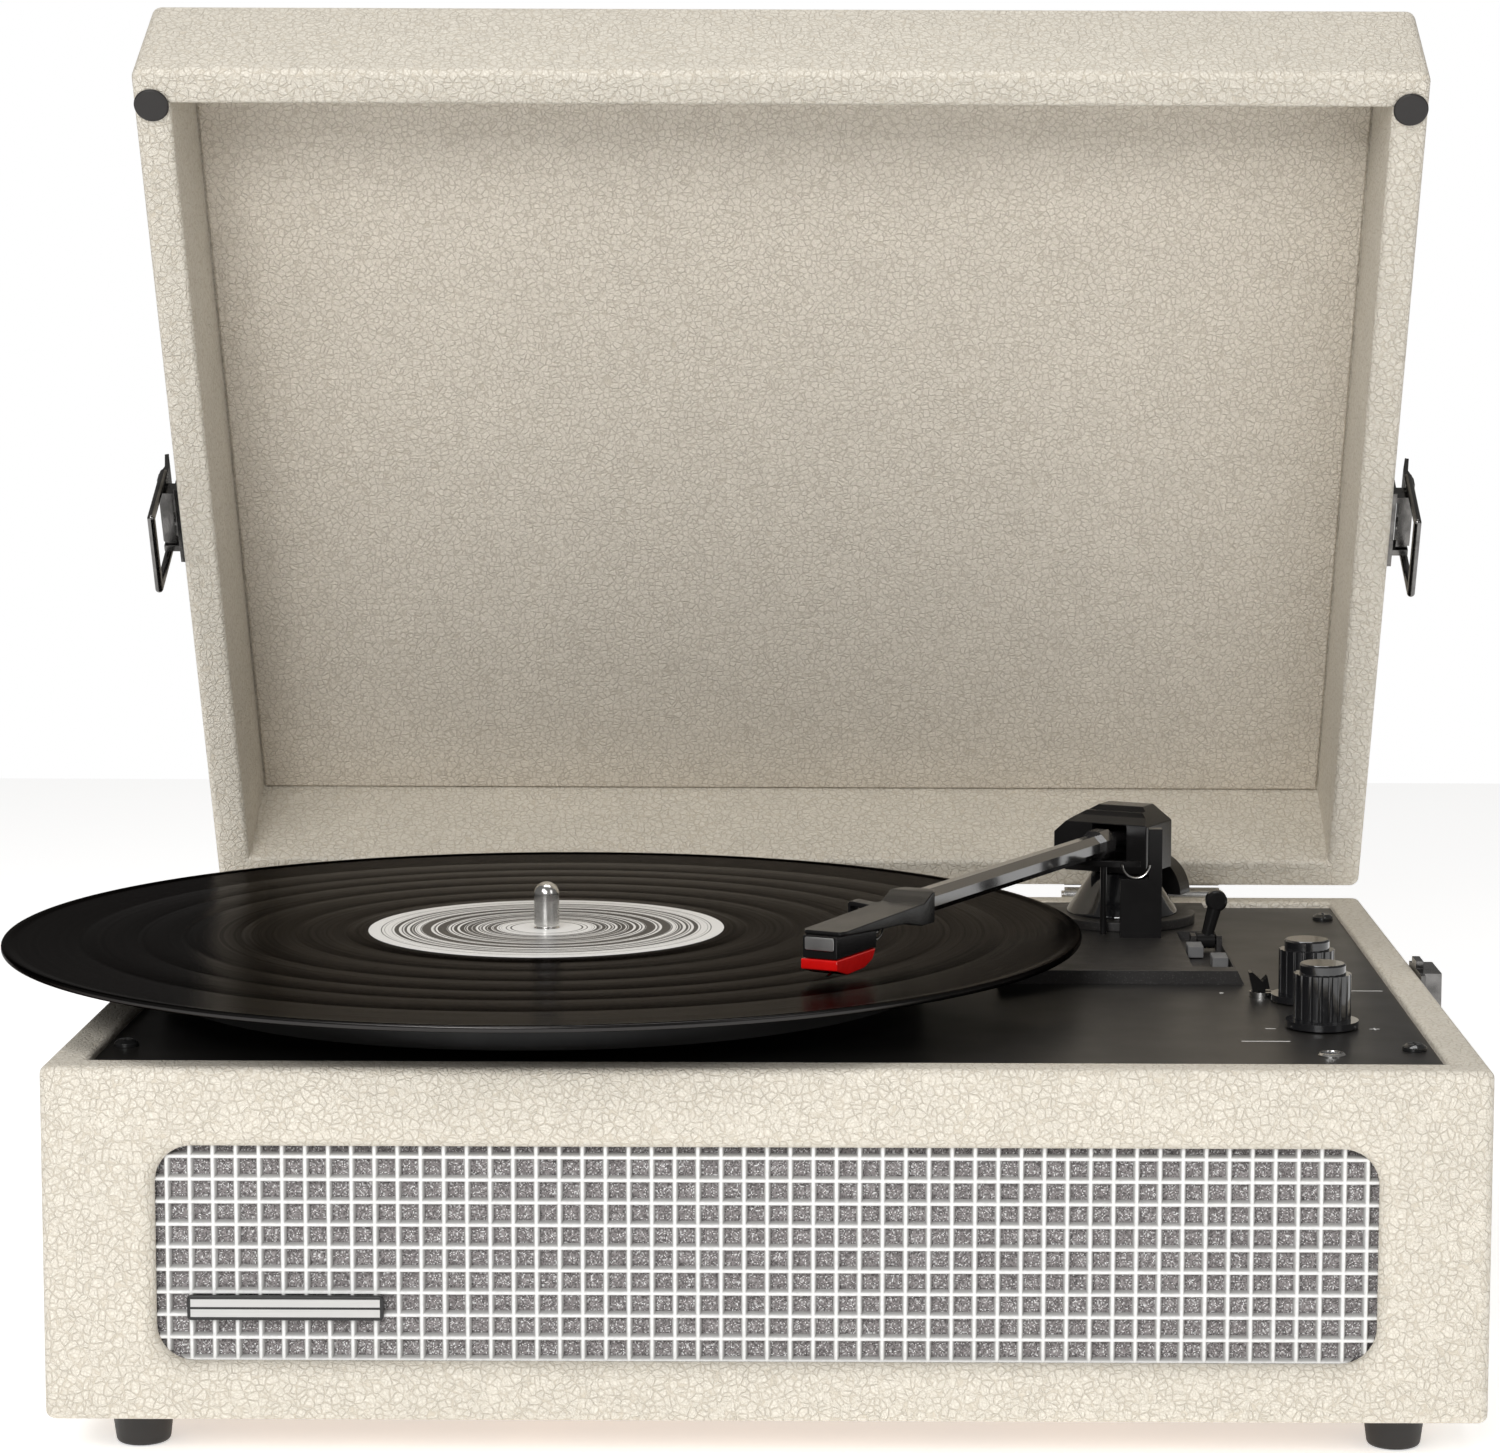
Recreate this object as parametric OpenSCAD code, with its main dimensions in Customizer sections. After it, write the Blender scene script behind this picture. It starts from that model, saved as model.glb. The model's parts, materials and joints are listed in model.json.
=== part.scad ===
// A portable suitcase record player: a box-shaped case with stereo speakers behind a moulded grille, a hinged
// lid with two side draw latches, a belt-driven platter carrying a 12 inch record, a straight tonearm with a
// cueing lever, and its controls. +Z is up, the front faces -Y, and the feet stand on Z = 0.

/* [Case] */
// Outside width of the case
body_w = 368; // [366:1:372]
// Outside depth of the case
body_d = 288; // [286:1:292]
// Height of the base, without its feet
base_h = 91.5; // [90:0.5:100]
// Thickness of the case walls
wall = 10.5; // [10:0.5:11]
// Radius of the case's upright corners
corner_r = 3; // [2:0.5:5]
// Height of the rubber feet
foot_h = 11; // [10:0.5:12]
// Distance of each foot's centre from the case sides
foot_inset = 21.5; // [20:0.5:25]

/* [Lid] */
// Height of the lid
lid_h = 44; // [43:0.5:48]
// Thickness of the lid's top board
lid_top = 4; // [3:0.5:4.5]
// Angle of the open lid above its closed place
lid_open = 61.5; // [16:0.5:65]
// Distance of the hinge axis behind the rear face
hinge_back = 3; // [2.9:0.1:3.5]

/* [Speaker grille] */
// Width of the grille opening
grille_w = 311; // [305:1:315]
// Height of the grille opening
grille_h = 55.8; // [54:0.2:58]
// Height of the opening's centre above the case bottom
grille_centre_h = 42.8; // [41:0.1:45]
// Pitch of the square grid
grid_pitch = 5.87; // [5.5:0.01:6.5]
// Width of a grid bar
bar_w = 1.8; // [1.4:0.1:2.4]

/* [Turntable] */
// Distance of the spindle from the case's left side
spindle_dx = 118.8; // [117:0.1:121]
// Distance of the spindle from the case's front
spindle_dy = 124.4; // [123:0.1:126]
// Radius of the spindle
spindle_r = 3.55; // [3.5:0.01:3.6]
// Radius of the platter
platter_r = 107; // [105:1:114]
// Radius of the record
record_r = 150.8; // [150:0.1:151]
// Radius of the record's label
label_r = 50; // [49:0.5:51]
// Height of the record's top above the case rim
record_top = 15.8; // [15.6:0.1:17]

/* [Tonearm] */
// Distance of the tonearm pivot from the case's left side
pivot_dx = 287.5; // [287:0.5:289]
// Distance of the tonearm pivot from the case's front
pivot_dy = 226; // [225:0.5:228]
// Angle of the arm from straight ahead, towards the spindle
arm_turn = 26; // [24:0.5:28]
// Length from the pivot to the stylus
arm_length = 200; // [198:0.5:202]
// Height of the arm tube's centre above the case rim
arm_rise = 28; // [27.5:0.1:28.5]

/* [Controls] */
// Radius of a knob's fluted skirt
knob_r = 7.75; // [7:0.05:8]
// Height of a knob
knob_h = 17.2; // [16:0.2:18]
// Number of flutes on a knob
knob_flutes = 18; // [12:1:20]

/* [Hidden] */

// Number of sides asked for on round parts: they are built as true curves
$fn = 48;

// Colours
cream = [0.86, 0.81, 0.72];
greige = [0.62, 0.58, 0.50];
black = [0.06, 0.06, 0.065];
satin_black = [0.11, 0.105, 0.10];
steel = [0.72, 0.73, 0.74];
dark_chrome = [0.32, 0.32, 0.33];
brass = [0.78, 0.62, 0.30];
board_brown = [0.62, 0.47, 0.30];

// Place of the case: its middle is offset from the origin, which is under the middle of the whole object
case_x = 12;
case_y = -7;
left = case_x - body_w / 2;
right = case_x + body_w / 2;
front = case_y - body_d / 2;
rear = case_y + body_d / 2;
rim_z = foot_h + base_h;
in_w = body_w - 2 * wall;
in_d = body_d - 2 * wall;
overcut = 1;

// Deck and bottom
deck_drop = 2;
deck_t = 3;
deck_z = rim_z - deck_drop;
bottom_t = 5;
floor_z = foot_h + bottom_t;
block_w = 24;
block_d = 34;
deck_screw_dx = 15.5;
deck_screw_front = 38.5;
deck_screw_rear = 254;
screw_r = 1.5;
screw_head_r = 3.2;
pilot_gap = 0.02;

// Grille
grille_x = case_x;
grille_z = foot_h + grille_centre_h;
pocket_lap = 3;
pocket_front = 4;
grid_t = 2.4;
cloth_t = 0.6;
grid_columns = 53;
grid_rows = 9;
speaker_dx = 115;
speaker_r = 30;
grille_corner = 9.5;

// Turntable
spindle_x = left + spindle_dx;
spindle_y = front + spindle_dy;
shaft_r = spindle_r - 0.05;
run_gap = 0.05;
mat_t = 1.4;
record_t = 1.9;
record_z = rim_z + record_top - record_t;
mat_z = record_z - mat_t;
platter_low = rim_z + 1.2;
drive_ring_r = 70;
hub_r = 11;
web = 2.2;
pulley_r = 5;
motor_reach = 88;
motor_x = spindle_x;
motor_y = spindle_y + motor_reach;
belt_z = rim_z + 4.2;
belt_gap = 0.3;
belt_t = 0.7;
belt_h = 4.5;
spindle_tip_z = rim_z + 28.9;

// Tonearm
pivot_x = left + pivot_dx;
pivot_y = front + pivot_dy;
arm_z = rim_z + arm_rise;
plinth_top = rim_z + 2;
plinth_left = left + 246;
plinth_right = left + 317;
plinth_front = front + 136;
plinth_rear = front + 262;
tray_left = left + 302.8;
tray_right = left + 314.4;
tray_front = front + 143;
tray_rear = front + 206;
tray_floor = rim_z - 0.5;
disc_r = 22.3;
disc_t = 3;
turret_z = plinth_top + disc_t;
turret_h = 13;
block_low = turret_z + turret_h + 0.4;
block_top = rim_z + 38;
pivot_shaft_r = 3;
tube_r = 3.6;
lift_pin_r = 1.5;
rest_reach = 30;
rest_turn = 4;
lift_bar_r = 26;
lift_bar_top = arm_z - tube_r - 0.1;
lever_x = left + 310;
lever_y = front + 186;
lever_z = plinth_top + 0.6;

// Controls
knob_x = left + 331.8;
volume_y = front + 70.5;
tone_y = front + 110;
toggle_x = left + 320;
toggle_y = front + 117;
led_x = left + 330;
led_y = front + 31;

// Hinges and latches
hinge_y = rear + hinge_back;
hinge_len = 50;
hinge_dx = 114;
knuckle_r = 2.5;
hinge_pin_r = 1.4;
leaf_t = 1.2;
leaf_h = 18;
leaf_gap = 0.3;
outer_knuckles = [[-hinge_len / 2, -10.2], [10.2, hinge_len / 2]];
inner_knuckle = [[-10, 10]];
latch_y = front + 153.5;
latch_out = 4.5;
latch_up = 8;
loop_out = 5.8;
loop_up = 13.4;
loop_drop = 26;
loop_wire_r = 1.2;

// Rear sockets
jack_x = left + 292;
jack_z = foot_h + 46;
jack_w = 100;
jack_h = 36;

// Circuit board
board_x = left + 216;
board_y = front + 190;

// ---------- helpers ----------

// Rectangle with rounded corners, its lower left corner at the origin
module rounded_rect(w, d, r) {
    translate([r, 0]) square([w - 2 * r, d]);
    translate([0, r]) square([w, d - 2 * r]);
    for (x = [r, w - r], y = [r, d - r]) translate([x, y]) circle(r);
}

// Upright slab standing across the depth: centred on x and z, from y0 to y1
module upright_slab(x, z, w, h, r, y0, y1) {
    translate([x - w / 2, y1, z - h / 2]) rotate([90, 0, 0]) linear_extrude(y1 - y0) rounded_rect(w, h, r);
}

// Cylinder along Y from y0 to y1
module rod_y(x, y0, y1, z, r) {
    translate([x, y1, z]) rotate([90, 0, 0]) cylinder(h = y1 - y0, r = r);
}

// Cylinder along X from x0 to x1
module rod_x(x0, x1, y, z, r) {
    translate([x0, y, z]) rotate([0, 90, 0]) cylinder(h = x1 - x0, r = r);
}

// Upright tube
module tube(x, y, z, h, r, bore) {
    translate([x, y, z]) difference() {
        cylinder(h = h, r = r);
        translate([0, 0, -overcut]) cylinder(h = h + 2 * overcut, r = bore);
    }
}

// Places the four corners of a rectangle that is inset from the case sides
module at_corners(dx, dy_front, dy_rear) {
    for (x = [left + dx, right - dx], y = [front + dy_front, front + dy_rear]) translate([x, y, 0]) children();
}

// Turns what is drawn in the closed lid's place to the open place
module on_lid() {
    translate([0, hinge_y, rim_z]) rotate([-lid_open, 0, 0]) translate([0, -hinge_y, -rim_z]) children();
}

// Puts what is drawn along -Y from the origin on the tonearm's line
module on_arm() {
    translate([pivot_x, pivot_y, 0]) rotate([0, 0, -arm_turn]) children();
}

// Pan head screw pointing down, its head's underside at the origin
module pan_screw(length) {
    translate([0, 0, -length]) cylinder(h = length, r = screw_r);
    difference() {
        union() {
            cylinder(h = 1, r = screw_head_r);
            translate([0, 0, 1]) cylinder(h = 0.9, r1 = screw_head_r, r2 = 2);
        }
        for (turn = [0, 90]) rotate(turn) translate([-1.8, -0.35, 1]) cube([3.6, 0.7, 2]);
    }
}

// ---------- case ----------

module base_case() color(cream) difference() {
    translate([left, front, foot_h]) linear_extrude(base_h) rounded_rect(body_w, body_d, corner_r);
    translate([left + wall, front + wall, foot_h - overcut]) cube([in_w, in_d, base_h + 2 * overcut]);
    upright_slab(grille_x, grille_z, grille_w, grille_h, grille_corner, front - overcut, front + wall);
    upright_slab(grille_x, grille_z, grille_w + 2 * pocket_lap, grille_h + 2 * pocket_lap, 2,
        front + pocket_front, front + wall + overcut);
    upright_slab(jack_x, jack_z, jack_w - 8, jack_h - 8, 3, rear - wall - overcut, rear + overcut);
}

module bottom_panel() color(board_brown) difference() {
    translate([left + wall, front + wall, foot_h]) cube([in_w, in_d, bottom_t]);
    at_corners(foot_inset, foot_inset, body_d - foot_inset)
        translate([0, 0, foot_h - overcut]) cylinder(h = bottom_t + 2 * overcut, r = screw_r + pilot_gap);
}

module bottom_screws() color(steel)
    at_corners(foot_inset, foot_inset, body_d - foot_inset)
        translate([0, 0, foot_h - 4]) rotate([180, 0, 0]) pan_screw(20);

module feet() color(black)
    at_corners(foot_inset, foot_inset, body_d - foot_inset) difference() {
        rotate_extrude() polygon([[0, 0], [6.4, 0], [7, 0.7], [8.4, foot_h], [0, foot_h]]);
        translate([0, 0, -overcut]) cylinder(h = foot_h - 4 + overcut, r = 4);
        translate([0, 0, -overcut]) cylinder(h = foot_h + 2 * overcut, r = screw_r + pilot_gap);
    }

module corner_blocks() color(board_brown)
    for (x = [left + wall, right - wall - block_w], y = [front + wall, rear - wall - block_d]) difference() {
        translate([x, y, floor_z]) cube([block_w, block_d, deck_z - deck_t - floor_z]);
        at_corners(foot_inset, foot_inset, body_d - foot_inset)
            translate([0, 0, floor_z - overcut]) cylinder(h = 14, r = screw_r + pilot_gap);
        at_corners(deck_screw_dx, deck_screw_front, deck_screw_rear)
            translate([0, 0, deck_z - 16]) cylinder(h = 16, r = screw_r + pilot_gap);
    }

// ---------- deck ----------

module deck_plate() color(satin_black) difference() {
    translate([left + wall, front + wall, deck_z - deck_t]) cube([in_w, in_d, deck_t]);
    at_corners(deck_screw_dx, deck_screw_front, deck_screw_rear) deck_hole(screw_r + pilot_gap);
    translate([spindle_x, spindle_y, 0]) deck_hole(7);
    translate([motor_x, motor_y, 0]) deck_hole(8);
    translate([pivot_x, pivot_y, 0]) deck_hole(pivot_shaft_r + 1);
    for (y = [volume_y, tone_y]) translate([knob_x, y, 0]) deck_hole(4);
    rotate_about_pivot(-16) translate([0, -lift_bar_r, 0]) deck_hole(1.5);
    translate([toggle_x, toggle_y, 0]) deck_hole(3.4);
    translate([led_x, led_y, 0]) deck_hole(2.4);
    translate([motor_x, motor_y, 0]) for (turn = [30, 150, 270]) rotate(turn) translate([22, 0, 0]) deck_hole(3);
}

module deck_hole(r) {
    translate([0, 0, deck_z - deck_t - overcut]) cylinder(h = deck_t + 2 * overcut, r = r);
}

module deck_screws() color(black)
    at_corners(deck_screw_dx, deck_screw_front, deck_screw_rear) translate([0, 0, deck_z]) pan_screw(14);

// ---------- speakers ----------

module speaker_grille() color([0.80, 0.80, 0.79]) {
    outer_w = grille_w + 2 * pocket_lap;
    outer_h = grille_h + 2 * pocket_lap;
    translate([grille_x, front + pocket_front + grid_t, grille_z]) rotate([90, 0, 0]) linear_extrude(grid_t) {
        difference() {
            square([outer_w - 0.2, outer_h - 0.2], center = true);
            square([grille_w, grille_h], center = true);
        }
        for (i = [0:grid_columns - 1])
            translate([(i - (grid_columns - 1) / 2) * grid_pitch, 0])
                square([bar_w, grille_h + 1], center = true);
        for (k = [0:grid_rows - 1])
            translate([0, grille_h / 2 - grid_pitch / 2 - k * grid_pitch])
                square([grille_w + 1, bar_w], center = true);
    }
}

module speaker_cloth() color([0.45, 0.45, 0.46]) {
    back = front + pocket_front + grid_t;
    upright_slab(grille_x, grille_z, grille_w + 2 * pocket_lap - 0.2, grille_h + 2 * pocket_lap - 0.2, 1.8,
        back, back + cloth_t);
}

module speaker_baffle() color(board_brown) {
    face = front + pocket_front + grid_t + cloth_t;
    difference() {
        upright_slab(grille_x, grille_z, grille_w + 2 * pocket_lap - 0.2, grille_h + 2 * pocket_lap - 0.2, 1.8,
            face, front + wall);
        for (side = [-1, 1])
            rod_y(grille_x + side * speaker_dx, face - overcut, front + wall + overcut, grille_z, speaker_r - 5);
    }
}

// Draws one speaker's part at both speaker places, with +Z pointing into the case
module at_speakers() {
    for (side = [-1, 1]) translate([grille_x + side * speaker_dx, front + wall, grille_z])
        rotate([-90, 0, 0]) children();
}

module speaker_frames() color(dark_chrome) at_speakers() rotate_extrude()
    polygon([[speaker_r - 5, 0], [speaker_r, 0], [speaker_r, 1.6], [speaker_r - 4, 1.6], [18, 20], [12, 20],
        [12, 18.5], [17, 18.5], [speaker_r - 5.4, 1.6], [speaker_r - 5, 1.2]]);

module speaker_cones() color(black) at_speakers() rotate_extrude()
    polygon([[0, 9], [6, 8], [9, 11], [speaker_r - 7, 1.5], [speaker_r - 6, 2], [9.4, 12.6], [9.4, 18],
        [8.6, 18], [8.6, 12], [6, 9], [0, 10]]);

module speaker_magnets() color(dark_chrome) at_speakers() translate([0, 0, 20]) difference() {
    cylinder(h = 11, r = 20);
    translate([0, 0, 9.5]) cylinder(h = 2, r = 4);
}

module front_badge() color(steel)
    upright_slab(left + 61.4, foot_h + 28.8, 50, 6.4, 1, front + pocket_front - 1.6, front + pocket_front);

// ---------- hinges and catches ----------

// One hinge leaf on a rear face: a plate above z = 0 and its knuckles round the axis
module hinge_leaf(knuckles) {
    difference() {
        union() {
            translate([-hinge_len / 2, rear, knuckle_r + leaf_gap])
                cube([hinge_len, leaf_t, leaf_h - knuckle_r - leaf_gap]);
            for (k = knuckles) {
                rod_x(k[0], k[1], hinge_y, 0, knuckle_r);
                translate([k[0], rear + 0.35, 0]) cube([k[1] - k[0], leaf_t - 0.35, knuckle_r + leaf_gap + 1]);
            }
        }
        rod_x(-hinge_len, hinge_len, hinge_y, 0, hinge_pin_r + run_gap);
        for (x = [-16, 16]) rod_y(x, rear - overcut, rear + 4, 12, 1.7);
    }
}

module base_hinge_leaves() color(steel)
    for (side = [-1, 1]) translate([case_x + side * hinge_dx, 0, rim_z]) mirror([0, 0, 1])
        hinge_leaf(outer_knuckles);

module lid_hinge_leaves() color(steel)
    on_lid() for (side = [-1, 1]) translate([case_x + side * hinge_dx, 0, rim_z]) hinge_leaf(inner_knuckle);

module hinge_pins() color(steel)
    for (side = [-1, 1]) {
        middle = case_x + side * hinge_dx;
        rod_x(middle - hinge_len / 2 - 1, middle + hinge_len / 2 + 1, hinge_y, rim_z, hinge_pin_r);
    }

// Places a side fitting drawn with +X outwards on both sides of the case
module on_both_sides() {
    translate([right, latch_y, rim_z]) children();
    translate([left, latch_y, rim_z]) mirror([1, 0, 0]) children();
}

module side_catches() color(dark_chrome) on_both_sides() difference() {
    union() {
        translate([0, -13, -26]) cube([1.4, 26, 26]);
        translate([0, -10, -8.8]) cube([6.4, 20, 9]);
        translate([5, -10, -12]) cube([1.4, 20, 4]);
        translate([0, -2, -1]) cube([2.2, 9, 3.4]);
    }
    for (y = [-7, 7]) rod_x(-overcut, 3, y, -20, 1.6);
}

// ---------- drive ----------

module spindle() color(steel) translate([spindle_x, spindle_y, 0]) {
    neck_z = rim_z + record_top + 0.2;
    pin_z = neck_z + 0.8;
    translate([0, 0, rim_z - 16]) cylinder(h = neck_z - rim_z + 16, r = shaft_r);
    translate([0, 0, neck_z - 1]) cylinder(h = 3, r = 3);
    translate([0, 0, pin_z]) cylinder(h = spindle_tip_z - spindle_r - pin_z, r = spindle_r);
    translate([0, 0, spindle_tip_z - spindle_r]) sphere(spindle_r);
}

module spindle_bush() color(brass) {
    tube(spindle_x, spindle_y, rim_z - 15, 15 - deck_drop, 6.9, shaft_r + pilot_gap);
    tube(spindle_x, spindle_y, deck_z, platter_low - 0.1 - deck_z, 9, shaft_r + pilot_gap);
}

module platter() color([0.20, 0.20, 0.20]) translate([spindle_x, spindle_y, 0]) rotate_extrude() {
    bore = hub_r + pilot_gap;
    polygon([[bore, mat_z - web], [platter_r, mat_z - web], [platter_r, mat_z - 0.8], [platter_r - 0.8, mat_z],
        [bore, mat_z]]);
}

module platter_rim() color([0.20, 0.20, 0.20])
    tube(spindle_x, spindle_y, platter_low, mat_z - web - platter_low, platter_r, platter_r - 2.5);

module drive_ring() color([0.20, 0.20, 0.20])
    tube(spindle_x, spindle_y, platter_low + 1.5, mat_z - web - platter_low - 1.5, drive_ring_r,
        drive_ring_r - 2.5);

module platter_hub() color(brass)
    tube(spindle_x, spindle_y, platter_low, mat_z - platter_low, hub_r, spindle_r + 0.03);

module platter_mat() color(black) tube(spindle_x, spindle_y, mat_z, mat_t, platter_r - 2, 6);

module record_disc() color([0.03, 0.03, 0.03]) translate([spindle_x, spindle_y, record_z]) rotate_extrude() {
    bore = spindle_r + 0.07;
    label_t = record_t - 0.15;
    groove_t = record_t - 0.35;
    polygon([[bore, 0], [record_r - 0.9, 0], [record_r, 0.7], [record_r, record_t - 0.6],
        [record_r - 0.7, record_t], [record_r - 2, record_t], [record_r - 4, groove_t],
        [label_r + 6, groove_t], [label_r + 3, label_t], [bore, label_t]]);
}

module record_label() color([0.93, 0.93, 0.92])
    tube(spindle_x, spindle_y, record_z + record_t - 0.15, 0.15, label_r, spindle_r + 0.07);

module motor() color(steel) translate([motor_x, motor_y, 0]) {
    difference() {
        union() {
            translate([0, 0, deck_z - 35]) cylinder(h = 26, r = 16);
            translate([0, 0, deck_z - 9]) cylinder(h = 3, r = 5);
            for (turn = [30, 150, 270]) rotate(turn) translate([0, -4, deck_z - 10.5]) cube([27, 8, 1.5]);
        }
        translate([0, 0, deck_z - 20]) cylinder(h = 20, r = 1 + run_gap);
        for (turn = [30, 150, 270]) rotate(turn) translate([22, 0, deck_z - 12]) cylinder(h = 4, r = 2.4);
    }
}

module motor_mounts() color(black) translate([motor_x, motor_y, 0])
    for (turn = [30, 150, 270]) rotate(turn) {
        tube(22, 0, deck_z - 9, 6, 3.8, 1.5);
        tube(22, 0, deck_z - 10.5, 1.5, 2.38, 1.5);
    }

module motor_pulley() color(brass) translate([motor_x, motor_y, 0]) {
    translate([0, 0, deck_z - 19]) cylinder(h = belt_z + belt_h - deck_z + 19, r = 1);
    translate([0, 0, belt_z - 1]) cylinder(h = 1, r = pulley_r + 1);
    translate([0, 0, belt_z]) cylinder(h = belt_h, r = pulley_r);
    translate([0, 0, deck_z - 1]) cylinder(h = belt_z - deck_z, r = 3.2);
}

// Outline of a belt round the drive ring and the pulley, at a distance from both
module belt_outline(gap) {
    big = drive_ring_r + gap;
    small = pulley_r + gap;
    lean = asin((big - small) / motor_reach);
    circle(big, $fn = 96);
    translate([0, motor_reach]) circle(small);
    polygon([
        [big * cos(lean), big * sin(lean)], [small * cos(lean), motor_reach + small * sin(lean)],
        [-small * cos(lean), motor_reach + small * sin(lean)], [-big * cos(lean), big * sin(lean)]
    ]);
}

module drive_belt() color(black) translate([spindle_x, spindle_y, belt_z + 0.2])
    linear_extrude(belt_h - 0.4) difference() {
        belt_outline(belt_gap + belt_t);
        belt_outline(belt_gap);
    }

// ---------- tonearm ----------

module tonearm_plinth() color(satin_black) difference() {
    union() {
        translate([plinth_left, plinth_rear, deck_z]) rotate([90, 0, 0])
            linear_extrude(plinth_rear - plinth_front) polygon([[0, 0], [plinth_right - plinth_left, 0],
                [plinth_right - plinth_left - 2, plinth_top - deck_z], [1, plinth_top - deck_z]]);
        for (x = [lever_x - 4.6, lever_x + 3]) translate([x, lever_y - 3, tray_floor])
            cube([1.6, 6, lever_z + 1.8 - tray_floor]);
    }
    difference() {
        translate([tray_left, tray_front, tray_floor]) cube([tray_right - tray_left, tray_rear - tray_front, 6]);
        for (x = [lever_x - 4.6, lever_x + 3]) translate([x, lever_y - 3, tray_floor - overcut])
            cube([1.6, 6, 7]);
    }
    rod_x(lever_x - 5, lever_x + 5, lever_y, lever_z, 1.05);
    translate([pivot_x, pivot_y, deck_z - overcut]) cylinder(h = 10, r = pivot_shaft_r + 0.5);
    rotate_about_pivot(-16) translate([0, -lift_bar_r, deck_z - overcut]) cylinder(h = 10, r = 1 + run_gap);
}

// Turns what is drawn towards -Y about the tonearm pivot by an angle from straight ahead
module rotate_about_pivot(turn) {
    translate([pivot_x, pivot_y, 0]) rotate([0, 0, turn]) children();
}

module pivot_disc() color(satin_black) tube(pivot_x, pivot_y, plinth_top, disc_t, disc_r, pivot_shaft_r + 0.5);

module pivot_turret() color(black) translate([pivot_x, pivot_y, turret_z]) rotate_extrude()
    polygon([[pivot_shaft_r + run_gap, 0], [17, 0], [16.8, 1], [10, 11.8], [9.5, turret_h],
        [pivot_shaft_r + run_gap, turret_h]]);

module arm_rest() color(satin_black) {
    rest_x = pivot_x + rest_reach * sin(rest_turn);
    rest_back = pivot_y - lift_bar_r - 2.2;
    rest_t = 4;
    half_w = 4.6;
    prong_gap = 3.8;
    prong_w = 4;
    clip_z = arm_z - tube_r - 0.4;
    translate([rest_x - half_w, rest_back - rest_t, plinth_top])
        cube([half_w + prong_gap + prong_w, rest_t, rim_z + 19.6 - plinth_top]);
    translate([rest_x + prong_gap, rest_back - rest_t, plinth_top])
        cube([prong_w, rest_t, rim_z + 34.8 - plinth_top]);
    difference() {
        rod_y(rest_x, rest_back - rest_t + 0.6, rest_back - 0.6, clip_z, 4.5);
        rod_y(rest_x, rest_back - rest_t, rest_back, clip_z, 3.7);
        translate([rest_x - 6, rest_back - rest_t, clip_z]) cube([12, rest_t, 6]);
        translate([rest_x + prong_gap, rest_back - rest_t, clip_z - 6]) cube([prong_w, rest_t, 12]);
    }
}

module pivot_block() color(black) on_arm() {
    block_left = -18.2;
    block_right = 12.3;
    block_front = -11;
    block_rear = 9.7;
    block_h = block_top - block_low;
    difference() {
        intersection() {
            translate([0, block_rear, block_low]) rotate([90, 0, 0]) linear_extrude(block_rear - block_front)
                polygon([[block_left, 2], [block_left + 4, 0], [block_right, 0], [block_right, block_h - 5],
                    [block_right - 2.5, block_h - 2.5], [block_right - 5, block_h], [block_left + 11, block_h],
                    [block_left + 5, block_h - 3.5], [block_left, block_h - 8]]);
            translate([block_left - 1, 0, block_low]) rotate([90, 0, 90]) linear_extrude(40)
                polygon([[block_front, 0], [block_rear, 0], [block_rear, block_h - 5], [block_rear - 3, block_h],
                    [-2, block_h], [-3, block_h - 1.4], [-5.6, block_h - 1.4], [-6.6, block_h - 2.8],
                    [block_front, block_h - 4.6]]);
        }
        translate([-5.6, block_front - 1, arm_z - 6]) cube([11.2, 19, 11]);
        rod_x(-10.1, 10.1, 0, arm_z, lift_pin_r + run_gap);
    }
    translate([0, 0, deck_z - 14]) cylinder(h = block_low - deck_z + 14, r = pivot_shaft_r);
}

module arm_tube() color([0.13, 0.13, 0.13]) on_arm() {
    translate([0, -16, arm_z]) rotate([90, 0, 0]) rotate(22.5) cylinder(h = arm_length - 63, r = tube_r, $fn = 8);
    translate([0, -16, arm_z]) rotate([90, 0, 0]) rotate(22.5) cylinder(h = 7, r = 4.8, $fn = 8);
    rod_y(0, -18, 4, arm_z, 2.6);
    rod_x(-10, 10, 0, arm_z, lift_pin_r);
}

module headshell() color(black) on_arm() difference() {
    shell_rear = -(arm_length - 54);
    shell_front = -(arm_length + 5.5);
    union() {
        intersection() {
            translate([0, 0, arm_z - 12]) linear_extrude(24) polygon([
                [-4.6, shell_rear], [4.6, shell_rear], [7, shell_rear - 5], [6.6, shell_rear - 14],
                [6.2, shell_front + 2], [5, shell_front], [-5, shell_front], [-6.2, shell_front + 2],
                [-6.2, shell_rear - 14], [-6, shell_rear - 5]
            ]);
            translate([-10, 0, arm_z]) rotate([90, 0, 90]) linear_extrude(30) polygon([
                [shell_rear, -4.4], [shell_rear, 4], [shell_rear - 6, 4], [shell_rear - 11, 1.6],
                [-(arm_length - 16), 1.2], [shell_front, 0.6], [shell_front, -0.4], [-(arm_length - 18), -1.8],
                [shell_rear - 22, -2.4], [shell_rear - 12, -4.4]
            ]);
        }
        finger_blade();
    }
    translate([0, shell_rear + 1, arm_z]) rotate([90, 0, 0]) rotate(22.5) cylinder(h = 8.02, r = tube_r, $fn = 8);
}

// Curled blade on the headshell's left edge that the arm is lifted by
module finger_blade() {
    translate([0, -(arm_length - 42), arm_z]) rotate([90, 0, 0]) linear_extrude(5)
        polygon([[-5, -0.6], [-5, 0.9], [-12.8, 1.8], [-13.6, 1.2], [-13.6, -2], [-12.8, -2], [-12.8, 0.4]]);
}

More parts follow.
